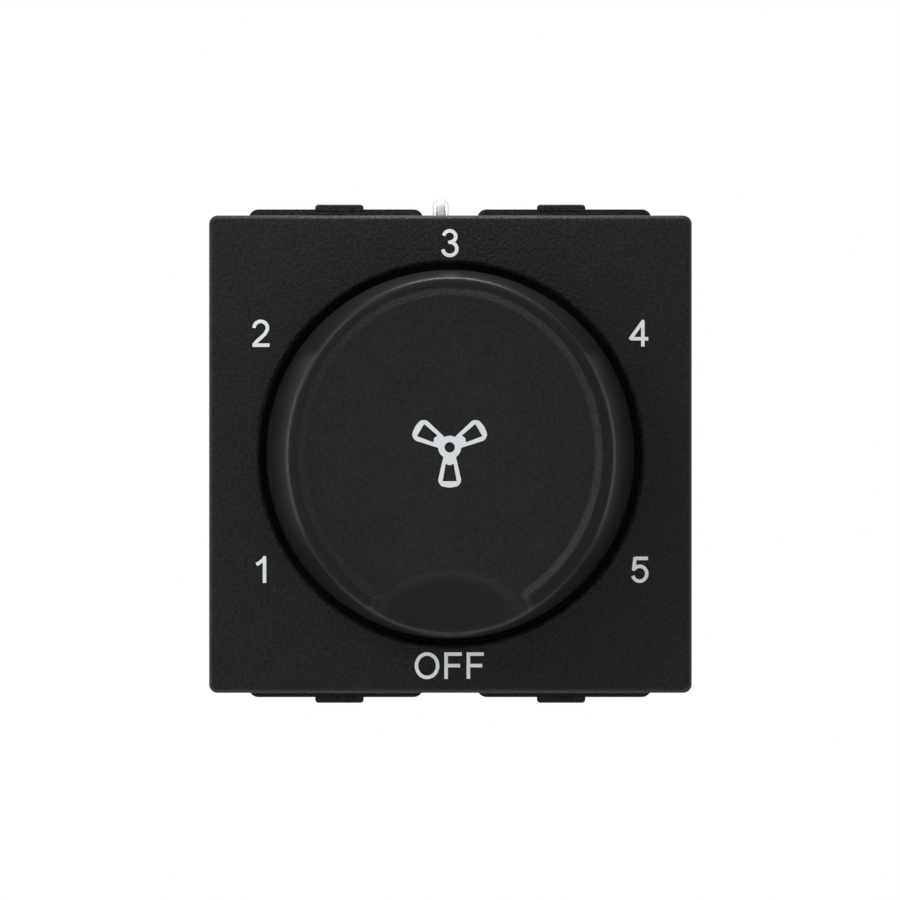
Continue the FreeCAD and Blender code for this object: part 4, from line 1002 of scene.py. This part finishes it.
@dataclass
class FanSymbol:
    """The three-bladed fan printed on the dial's dished face.

    Sizes are millimetres, and directions are degrees. A root or a tip is how far from the hub the
    blade or its bare window begins or ends, and its half width there.
    """

    hub: Point = (-0.10, 0.735)
    hub_radius: float = 1.07
    hub_hole: float = 0.48
    directions: tuple[float, ...] = (270.0, 30.5, 149.5)
    root: Point = (0.80, 0.56)
    tip: Point = (3.16, 1.10)
    tip_crown: float = 0.62
    tip_round: float = 0.55
    shoulder: float = 0.72
    shoulder_round: float = 0.44
    crown_round: float = 2.0
    window_root: Point = (1.55, 0.375)
    window_tip: Point = (3.15, 0.655)
    window_round: float = 0.05
    lobe_radius: float = 0.40
    lobe_reach: float = 1.26
    disc_sides: int = 48
    cut_margin: float = 0.1
    level: float = 17.05
    ink_thickness: float = 0.03
    ink_proud: float = 0.015

    def prisms(
        self, name: str, outlines: Iterable[Sequence[Point]], margin: float = 0.0
    ) -> Object:
        """One object made of a flat solid on each outline.

        Args:
            name: the object's name.
            outlines: points in the plane of the face.
            margin: how far the solids run on past the ink's back and front.

        Returns:
            The object.
        """
        high = self.level + self.ink_proud + margin
        low = self.level + self.ink_proud - self.ink_thickness - margin
        shape = bmesh.new()
        for outline in outlines:
            back, front = (
                [shape.verts.new((x * MM, -height * MM, z * MM)) for x, z in outline]
                for height in (low, high)
            )
            shape.faces.new(back)
            shape.faces.new(front)
            for index in range(len(outline)):
                after = (index + 1) % len(outline)
                shape.faces.new((back[index], back[after], front[after], front[index]))
        bmesh.ops.recalc_face_normals(shape, faces=shape.faces)
        return solid_piece(name, shape)

    def placed(self, points: Iterable[Point], direction: float) -> list[Point]:
        """Points turned to a blade's direction about the hub.

        Args:
            points: each as its reach along the blade and its place across it.
            direction: the blade's direction.

        Returns:
            The points in the plane of the face.
        """
        turn = math.radians(direction)
        out = []
        for reach, side in points:
            x = self.hub[0] + reach * math.cos(turn) - side * math.sin(turn)
            z = self.hub[1] + reach * math.sin(turn) + side * math.cos(turn)
            out.append((x, z))
        return out

    @staticmethod
    def rounded(corners: Sequence[Point], radii: Sequence[float], steps: int = 8) -> list[Point]:
        """An outline with each corner rounded by its own radius.

        Args:
            corners: the sharp corners in order.
            radii: a radius for each of them.
            steps: chords in each round.

        Returns:
            The rounded outline.
        """
        out: list[Point] = []
        count = len(corners)
        for index, (corner, radius) in enumerate(zip(corners, radii)):
            here = Vector(corner)
            before = (Vector(corners[index - 1]) - here).normalized()
            after = (Vector(corners[(index + 1) % count]) - here).normalized()
            half = before.angle(after) / 2
            if radius == 0:
                out.append(tuple(here))
                continue
            reach = radius / math.tan(half)
            first = here + before * reach
            last = here + after * reach
            middle = here + (before + after).normalized() * (radius / math.sin(half))
            for step in range(steps + 1):
                blend = first.lerp(last, step / steps) - middle
                out.append(tuple(middle + blend.normalized() * radius))
        return out

    def blade(self, direction: float) -> list[Point]:
        """Outline of a blade.

        Args:
            direction: where it points.

        Returns:
            The outline in the plane of the face.
        """
        root, tip = self.root, self.tip
        crown = (tip[0] + self.tip_crown, 0.0)
        shoulder = (tip[0] + self.tip_crown * self.shoulder, tip[1] * self.shoulder)
        half = ((root, 0.0), (tip, self.tip_round), (shoulder, self.shoulder_round))
        lower = [((x, -z), radius) for (x, z), radius in half]
        corners, radii = zip(*lower, (crown, self.crown_round), *reversed(half))
        return self.placed(self.rounded(corners, radii), direction)

    def window(self, direction: float) -> list[Point]:
        """Outline of the bare window in a blade.

        Args:
            direction: where the blade points.

        Returns:
            The outline in the plane of the face.
        """
        root, tip = self.window_root, self.window_tip
        corners = ((root[0], -root[1]), (tip[0], -tip[1]), tip, root)
        return self.placed(self.rounded(corners, (self.window_round,) * 4), direction)

    def disc(self, centre: Point, radius: float) -> list[Point]:
        """Outline of a round."""
        chords = self.disc_sides - 1
        return bow(centre, (radius, radius), 0, 360 * chords / self.disc_sides, chords)

    def build(self, frame: Frame) -> None:
        """Make the symbol and put it on the dial's body.

        Args:
            frame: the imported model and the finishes.
        """
        inked = [self.disc(self.hub, self.hub_radius)]
        bare = [self.disc(self.hub, self.hub_hole)]
        lobes = []
        for direction in self.directions:
            inked.append(self.blade(direction))
            bare.append(self.window(direction))
            centre = self.placed([(self.lobe_reach, 0.0)], direction)[0]
            lobes.append(self.disc(centre, self.lobe_radius))
        piece = self.prisms("fan_symbol", inked)
        cutter = self.prisms("fan_windows", bare, self.cut_margin)
        lobe = self.prisms("fan_lobes", lobes)
        for other, operation in ((cutter, "DIFFERENCE"), (lobe, "UNION")):
            step = piece.modifiers.new(operation, "BOOLEAN")
            step.operation = operation
            step.object = other
            step.solver = "EXACT"
            step.use_self = True
        settle(piece)
        for other in (cutter, lobe):
            bpy.data.objects.remove(other)
        piece.data.materials.clear()
        piece.data.materials.append(frame.palette.material("figure_ink"))
        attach(piece, "dial")
        report(piece)


# Forms that are built here


def soft_least(first: float, second: float, blend: float) -> float:
    """The smaller of two numbers, with their corner rounded over a blend width."""
    near = max(blend - abs(first - second), 0.0) / blend
    return min(first, second) - near * near * blend / 4


def eased(share: float) -> float:
    """A smooth step from 0 to 1 that stays level outside."""
    held = min(max(share, 0.0), 1.0)
    return held * held * (3 - 2 * held)


def between(first: Sequence[float], last: Sequence[float], share: float) -> tuple[float, ...]:
    """The point a share of the way from the first to the last."""
    return tuple(a + (b - a) * share for a, b in zip(first, last))


def quarter(steps: int) -> list[float]:
    """Angles of a quarter turn, in radians."""
    return [math.pi / 2 * step / steps for step in range(steps + 1)]


@dataclass
class DialMoulding:
    """The moulded dial: round skirt, drafted side with two grip hollows, oval rim, dish and scoop.

    Sizes are millimetres, angles are degrees, and a height is measured forward. On the top,
    "across" is 0 at the dish's floor and 1 at its mouth. Each run of points has its own number of
    steps, and the face has fine rings next to the dish and coarse ones in the middle.
    """

    skirt: Oval = (17.2, 17.2, 0.0)
    skirt_back: float = 5.6
    skirt_front: float = 8.6
    skirt_round: float = 0.2
    rim: Oval = (15.29, 16.61, 0.0)
    rim_level: float = 17.5
    rim_round: float = 0.62
    rim_inset: float = 0.9
    rim_passes: int = 4
    mouth: Oval = (14.16, 15.40, 0.20)
    floor: Oval = (13.40, 14.66, 0.20)
    face_level: float = 17.05
    slope_end: float = 29.4
    slope_fade: float = 1.8
    corner: float = 0.16
    scoop_centre: Point = (0.0, -19.2)
    scoop_edge: float = 8.54
    scoop_wall: float = 1.15
    scoop_wall_slope: float = 0.62
    scoop_bed_slope: float = 0.28
    scoop_blend: float = 0.11
    flank_offset: float = 3.185
    flank_ring: float = 48.48
    flank_section: float = 30.0
    flank_level: float = 19.488
    flank_blend: float = 0.06
    cavity_radius: float = 15.65
    cavity_level: float = 13.95
    weld: float = 0.001
    scoop_span: tuple[int, int] = (220, 320)
    skirt_steps: int = 3
    side_steps: int = 18
    side_start: float = -0.05
    rim_steps: int = 14
    band_steps: int = 6
    band_share: float = 0.85
    band_across: float = 0.3
    slope_steps: int = 18
    slope_across: Span = (1.15, -0.20)
    fine_rings: int = 46
    fine_share: float = 0.34
    coarse_rings: int = 7

    def oval_point(self, oval: Sequence[float], angle: float) -> Point:
        """The point of an oval at an angle."""
        turn = math.radians(angle)
        return (oval[0] * math.cos(turn), oval[2] + oval[1] * math.sin(turn))

    def scoop_level(self, point: Point) -> float:
        """Height of the scoop's bed, carried on upwards outside its edge.

        Args:
            point: place on the face.

        Returns:
            The height.
        """
        inward = self.scoop_edge - math.dist(point, self.scoop_centre)
        if inward <= 0:
            return self.face_level - inward * self.scoop_wall_slope
        wall = min(inward, self.scoop_wall)
        bend = (self.scoop_wall_slope - self.scoop_bed_slope) / (2 * self.scoop_wall)
        depth = wall * self.scoop_wall_slope - wall * wall * bend
        if inward > self.scoop_wall:
            bed = inward - self.scoop_wall
            reach = self.scoop_edge - self.scoop_wall
            depth += self.scoop_bed_slope * (bed - bed * bed / (2 * reach))
        return self.face_level - depth

    def top_level(self, point: Point, angle: float, across: float) -> float:
        """Height of the dial's top.

        Args:
            point: place on the top.
            angle: its angle on the ovals.
            across: how far across the dish's slope it lies.

        Returns:
            The height.
        """
        from_bottom = abs((angle + 270) % 360 - 180)
        kept = eased((from_bottom - self.slope_end + self.slope_fade) / (2 * self.slope_fade))
        held = soft_least(1.0, -soft_least(0.0, -across, self.corner), self.corner)
        level = self.face_level + (self.rim_level - self.face_level) * kept * held
        return soft_least(level, self.scoop_level(point), self.scoop_blend)

    def side_share(self, level: float) -> float:
        """How far up the drafted side a height lies: 0 at the skirt and 1 at the rim."""
        return (level - self.skirt_front) / (self.rim_level - self.skirt_front)

    def side_point(self, angle: float, level: float) -> Place:
        """A point of the drafted side, with the grip hollows taken off.

        Args:
            angle: angle on the ovals.
            level: height.

        Returns:
            Its x, z and height.
        """
        share = self.side_share(level)
        x, z = self.oval_point(between(self.skirt, self.rim, max(share, 0.0)), angle)
        if share <= 0:
            return (x, z, level)
        centre = -math.copysign(self.flank_offset, x)
        far = math.hypot(x - centre, z)
        rise = level - self.flank_level
        allowed = self.flank_ring - math.sqrt(self.flank_section**2 - rise**2)
        factor = soft_least(far, allowed, self.flank_blend) / far
        return (centre + (x - centre) * factor, z * factor, level)

    def top_point(self, oval: Sequence[float], angle: float, across: float) -> Place:
        """A point of the top.

        Args:
            oval: the oval through it.
            angle: its angle on the oval.
            across: how far across the dish's slope it lies.

        Returns:
            Its x, z and height.
        """
        x, z = self.oval_point(oval, angle)
        return (x, z, self.top_level((x, z), angle, across))

    def skirt_run(self, angle: float) -> list[Place]:
        """Points of the skirt's rounded back edge.

        Args:
            angle: angle on the ovals.

        Returns:
            The points from the back to the skirt's side.
        """
        points = []
        for turn in quarter(self.skirt_steps):
            radius = self.skirt[0] - self.skirt_round * (1 - math.sin(turn))
            x, z = self.oval_point((radius, radius, 0.0), angle)
            points.append((x, z, self.skirt_back + self.skirt_round * (1 - math.cos(turn))))
        return points

    def rim_run(self, angle: float) -> list[Place]:
        """Points of the side, the rim's round and its band.

        Args:
            angle: angle on the ovals.

        Returns:
            The points from the skirt's front to the dish's mouth.
        """
        width = math.dist(self.oval_point(self.rim, angle), self.oval_point(self.mouth, angle))
        inset = min(self.rim_round / width, self.rim_inset)
        corner = self.rim
        for _ in range(self.rim_passes):
            inner = self.top_point(between(corner, self.mouth, inset), angle, 1.0)
            corner = between(self.skirt, self.rim, self.side_share(inner[2]))
        rise = inner[2] - self.rim_round - self.skirt_front
        points = [self.side_point(angle, self.skirt_front + self.side_start)]
        for step in range(1, self.side_steps + 1):
            level = self.skirt_front + rise * step / self.side_steps
            points.append(self.side_point(angle, level))
        first, sharp = points[-1], (*self.oval_point(corner, angle), inner[2])
        for step in range(1, self.rim_steps + 1):
            share = step / self.rim_steps
            rising, crossing = between(first, sharp, share), between(sharp, inner, share)
            points.append(between(rising, crossing, share))
        for step in range(1, self.band_steps + 1):
            share = step / self.band_steps
            oval = between(corner, self.mouth, inset + (1 - inset) * self.band_share * share)
            points.append(self.top_point(oval, angle, 1 + self.band_across * (1 - share)))
        return points

    def dish_run(self, angle: float) -> list[Place]:
        """Points of the dish's slope and of the face.

        Args:
            angle: angle on the ovals.

        Returns:
            The points from the dish's mouth to near the middle of the face.
        """
        first, last = self.slope_across
        points = []
        for step in range(self.slope_steps + 1):
            across = first + (last - first) * step / self.slope_steps
            points.append(self.top_point(between(self.floor, self.mouth, across), angle, across))
        edge = between(self.floor, self.mouth, last)
        fine, coarse = self.fine_rings, self.coarse_rings
        rings = [1 - self.fine_share * step / fine for step in range(1, fine + 1)]
        rings += [(1 - self.fine_share) * (1 - step / coarse) for step in range(1, coarse)]
        for share in rings:
            oval = (edge[0] * share, edge[1] * share, edge[2])
            points.append(self.top_point(oval, angle, last))
        return points

    def profile(self, angle: float) -> list[Place]:
        """Each point's x, z and height, from the skirt's back edge to the middle of the face."""
        return [*self.skirt_run(angle), *self.rim_run(angle), *self.dish_run(angle)]

    def angles(self) -> list[float]:
        """Angles of the profiles.

        Returns:
            Whole degrees, and halves round the scoop.
        """
        first, last = self.scoop_span
        whole = [float(angle) for angle in range(last - 360, first)]
        return whole + [first + step / 2 for step in range(2 * (last - first))]

    def build(self, frame: Frame) -> None:
        """Make the moulding and put it on the dial's body in the knob's place.

        Args:
            frame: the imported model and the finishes.
        """
        shape = bmesh.new()
        shape.from_mesh(frame.nodes["knob"].data)
        bmesh.ops.remove_doubles(shape, verts=shape.verts, dist=self.weld * MM)
        outside = [
            face
            for face in shape.faces
            if not all(self.in_cavity(vert.co) for vert in face.verts)
        ]
        bmesh.ops.delete(shape, geom=outside, context="FACES")
        brim = [edge for edge in shape.edges if edge.is_boundary]
        for face in shape.faces:
            face.smooth = False
        columns = [
            [shape.verts.new((x * MM, -level * MM, z * MM)) for x, z, level in self.profile(angle)]
            for angle in self.angles()
        ]
        middle = shape.verts.new((0, -self.face_level * MM, self.floor[2] * MM))
        skirt_edge = []
        for column, other in zip(columns, columns[1:] + columns[:1]):
            for here, after in zip(zip(column, other), zip(column[1:], other[1:])):
                shape.faces.new((here[0], here[1], after[1], after[0])).smooth = True
            shape.faces.new((column[-1], other[-1], middle)).smooth = True
            skirt_edge.append(shape.edges.get((column[0], other[0])))
        bmesh.ops.triangle_fill(
            shape, edges=brim + skirt_edge, use_beauty=True, normal=(0, 1, 0)
        )
        bmesh.ops.recalc_face_normals(shape, faces=shape.faces)
        open_edges = sum(not edge.is_manifold for edge in shape.edges)
        LOG.info("dial_moulding has %d open edges", open_edges)
        piece = solid_piece("dial_moulding", shape, frame.palette.material("knob_plastic"))
        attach(piece, "dial")
        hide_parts("knob")
        report(piece)

    def in_cavity(self, place: Vector) -> bool:
        """Whether a corner of the CAD knob belongs to its hollow back."""
        radius = math.hypot(place.x, place.z) / MM
        return radius < self.cavity_radius and -place.y / MM < self.cavity_level


@dataclass
class SnapNoses:
    """Flat catch faces of the four snap tabs, with their corners and tips rounded.

    Sizes are millimetres. The corner's stations are shares of its radius along the width.
    """

    offset: float = 10.35
    half_width: float = 2.26
    front: float = 4.3
    foot: float = 22.6
    tip: float = 23.26
    corner: float = 0.3
    tip_round: float = 0.12
    depth: float = 0.7
    sunk: float = 0.05
    back_reach: float = 0.1
    tip_steps: int = 6
    corner_stations: tuple[float, ...] = (1.0, 0.94, 0.8, 0.6, 0.35, 0.0)

    def section(self, drop: float) -> list[Point]:
        """Outline of a nose across its width.

        Args:
            drop: how much its tip is lowered by the rounded corner.

        Returns:
            Points as (height forward, distance from the axis).
        """
        tip = self.tip - drop
        back = self.front - self.depth
        bend = [
            (
                self.front - self.tip_round * (1 - math.cos(angle)),
                tip - self.tip_round * (1 - math.sin(angle)),
            )
            for angle in quarter(self.tip_steps)
        ]
        foot = [(self.front - self.sunk, self.foot - self.sunk), (self.front, self.foot)]
        return [*foot, *bend, (back, tip), (back, tip - self.back_reach)]

    def build(self, frame: Frame) -> None:
        """Make the four noses as one piece on the housing.

        Args:
            frame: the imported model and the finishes.
        """
        shape = bmesh.new()
        inner = self.half_width - self.corner
        stations = [
            (-inner - self.corner * share, self.corner * (1 - math.cos(math.asin(share))))
            for share in self.corner_stations
        ]
        stations += [(-place, drop) for place, drop in reversed(stations)]
        for side, level in ((-1, -1), (-1, 1), (1, -1), (1, 1)):
            rings = []
            for place, drop in stations:
                x = (side * self.offset + place) * MM
                ring = [(x, -forward * MM, level * far * MM) for forward, far in self.section(drop)]
                rings.append([shape.verts.new(point) for point in ring])
            for first, last in zip(rings, rings[1:]):
                for index in range(len(first)):
                    after = (index + 1) % len(first)
                    shape.faces.new((first[index], first[after], last[after], last[index]))
            shape.faces.new(rings[0])
            shape.faces.new(rings[-1])
        bmesh.ops.recalc_face_normals(shape, faces=shape.faces)
        piece = solid_piece("snap_nose_faces", shape, frame.palette.material("housing_plastic"))
        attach(piece, "housing")
        report(piece)


# Sub-assemblies that keep their CAD nodes


@dataclass
class DressedNodes:
    """A sub-assembly whose CAD nodes stay, listed by the slot of their finish."""

    slots: dict[str, tuple[str, ...]]

    def dress(self, frame: Frame) -> None:
        """Give each node its finish."""
        for slot, names in self.slots.items():
            frame.dress(slot, *names)


@dataclass
class Enclosure(DressedNodes):
    """Front plate, rear housing and locating pin."""

    slots: dict[str, tuple[str, ...]] = field(default_factory=lambda: {
        "plate_plastic": ("front_plate",),
        "housing_plastic": ("rear_housing",),
        "pin_steel": ("locating_pin",),
    })


@dataclass
class Dial(DressedNodes):
    """Knob with its grip spring, the spindle, and the wheel and springs about it."""

    slots: dict[str, tuple[str, ...]] = field(default_factory=lambda: {
        "knob_plastic": ("knob",),
        "spring_steel": ("knob_grip_spring", "detent_spring", "retaining_ring"),
        "spindle_brass": ("spindle",),
        "wheel_plastic": ("detent_wheel",),
    })


@dataclass
class Electrics(DressedNodes):
    """Contacts, board, capacitors, resistors and terminals."""

    slots: dict[str, tuple[str, ...]] = field(default_factory=lambda: {
        "contact_brass": (
            "contact_bridge",
            "common_contact",
            *(f"speed_contact_{speed}" for speed in range(1, 6)),
        ),
        "case_plastic": ("switch_case",),
        "wafer_laminate": ("switch_wafer",),
        "board_laminate": ("circuit_board",),
        "capacitor_resin": ("capacitor_large", "capacitor_small"),
        "resistor_enamel": ("bleed_resistor_left", "bleed_resistor_right"),
        "block_plastic": ("terminal_block",),
        "busbar_brass": ("line_busbar", "load_busbar"),
        "screw_steel": ("line_screw", "load_screw", "board_screw_1", "board_screw_2"),
        "cage_steel": ("line_cage", "load_cage"),
    })


# Studio


@dataclass(frozen=True)
class SoftBox:
    """A rectangular lamp that faces the switch.

    The place and the two sides are metres, and the power is watts.
    """

    name: str
    place: Place
    width: float
    height: float
    power: float

    def build(self, aim: Vector) -> None:
        """Add the lamp.

        Args:
            aim: the point that it faces.
        """
        lamp = bpy.data.lights.new(self.name, "AREA")
        lamp.shape = "RECTANGLE"
        lamp.size = self.width
        lamp.size_y = self.height
        lamp.energy = self.power
        holder = bpy.data.objects.new(self.name, lamp)
        holder.location = self.place
        holder.rotation_mode = "QUATERNION"
        holder.rotation_quaternion = (aim - holder.location).to_track_quat("-Z", "Y")
        holder.visible_camera = False
        bpy.context.scene.collection.objects.link(holder)


@dataclass
class Studio:
    """White backdrop, pale floor, soft lamps and the camera.

    Azimuth and elevation are degrees. The floor's glow is the share of plain white in what the
    camera sees of it.
    """

    distance: float = 3.0
    azimuth: float = -0.2
    elevation: float = 0.6
    frame_width: float = 83.9 * MM
    aim: Place = (-0.042 * MM, -9.0 * MM, 0.40 * MM)
    sensor: float = 36.0
    floor_level: float = -0.16
    floor_reach: float = 0.9
    floor_sides: int = 96
    floor_paint: float = 0.9
    floor_glow: float = 0.7
    ambient: float = 0.46
    lamps: tuple[SoftBox, ...] = (
        SoftBox("key_soft_box", (-0.09, -0.10, 0.08), 0.05, 0.05, 0.094),
        SoftBox("top_strip", (0.0, -0.022, 0.28), 0.30, 0.04, 0.75),
        SoftBox("near_top_strip", (0.0, -0.014, 0.056), 0.03, 0.008, 0.034),
        SoftBox("left_strip", (-0.33, -0.05, 0.0), 0.08, 0.30, 0.50),
        SoftBox("left_edge_strip", (-0.30, -0.022, 0.02), 0.04, 0.16, 0.18),
        SoftBox("right_strip", (0.32, -0.02, 0.0), 0.06, 0.26, 0.48),
        SoftBox("low_strip", (0.0, -0.045, -0.15), 0.30, 0.05, 0.25),
    )

    def build(self) -> None:
        """Set the whole studio up."""
        self.camera()
        self.world()
        self.floor()
        for lamp in self.lamps:
            lamp.build(Vector(self.aim))

    def camera(self) -> None:
        """A long lens from slightly above and to the left, which frames the photo's width."""
        turn = math.radians(self.azimuth)
        rise = math.radians(self.elevation)
        back = Vector((
            math.sin(turn) * math.cos(rise),
            -math.cos(turn) * math.cos(rise),
            math.sin(rise),
        ))
        lens = bpy.data.cameras.new("camera")
        lens.sensor_width = self.sensor
        lens.lens = self.sensor * self.distance / self.frame_width
        lens.clip_start = self.distance / 10
        lens.clip_end = self.distance * 10
        holder = bpy.data.objects.new("camera", lens)
        holder.location = Vector(self.aim) + back * self.distance
        holder.rotation_mode = "QUATERNION"
        holder.rotation_quaternion = (-back).to_track_quat("-Z", "Y")
        bpy.context.scene.collection.objects.link(holder)
        bpy.context.scene.camera = holder

    def world(self) -> None:
        """White for what the camera, gloss and glass see, and dimmer as a light."""
        scene = bpy.context.scene
        scene.world = bpy.data.worlds.new("white_room")
        scene.world.use_nodes = True
        sheet = NodeSheet(scene.world.node_tree)
        strength = self.ambient + sheet.seen() * (1 - self.ambient)
        inputs = {"Color": (1, 1, 1, 1), "Strength": strength}
        room = sheet.node("ShaderNodeBackground", inputs)
        sheet.node("ShaderNodeOutputWorld", {"Surface": room.outputs[0]})
        scene.view_settings.view_transform = "Standard"

    def floor(self) -> None:
        """A pale round floor that keeps the switch's shadow."""
        shape = bmesh.new()
        bmesh.ops.create_circle(
            shape, cap_ends=True, segments=self.floor_sides, radius=self.floor_reach
        )
        bmesh.ops.translate(shape, verts=shape.verts, vec=(0, 0, self.floor_level))
        paint = bpy.data.materials.new("floor_white")
        paint.use_nodes = True
        sheet = NodeSheet(paint.node_tree)
        matt = sheet.node("ShaderNodeBsdfDiffuse", {"Color": (*(self.floor_paint,) * 3, 1)})
        glow = sheet.node("ShaderNodeEmission", {"Color": (1, 1, 1, 1), "Strength": 1.0})
        inputs = {0: sheet.seen() * self.floor_glow, 1: matt.outputs[0], 2: glow.outputs[0]}
        mixed = sheet.node("ShaderNodeMixShader", inputs)
        sheet.node("ShaderNodeOutputMaterial", {"Surface": mixed.outputs[0]})
        floor = solid_piece("floor", shape, paint)
        report(floor)


def corners(box: tuple[Vector, Vector]) -> list[list[float]]:
    """The two corners of a box as plain lists."""
    return [list(corner) for corner in box]


def main() -> None:
    """Build the switch's looks in order."""
    logging.basicConfig(level=logging.INFO, format="%(name)s: %(message)s")
    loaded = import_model()
    frame = Frame(loaded, Palette())
    for assembly in (Enclosure(), Dial(), Electrics()):
        assembly.dress(frame)
    SnapNoses().build(frame)
    DialMoulding().build(frame)
    PrintedFigures().build(frame, StrokeTree())
    FanSymbol().build(frame)
    Studio().build()


if __name__ == "__main__":
    main()
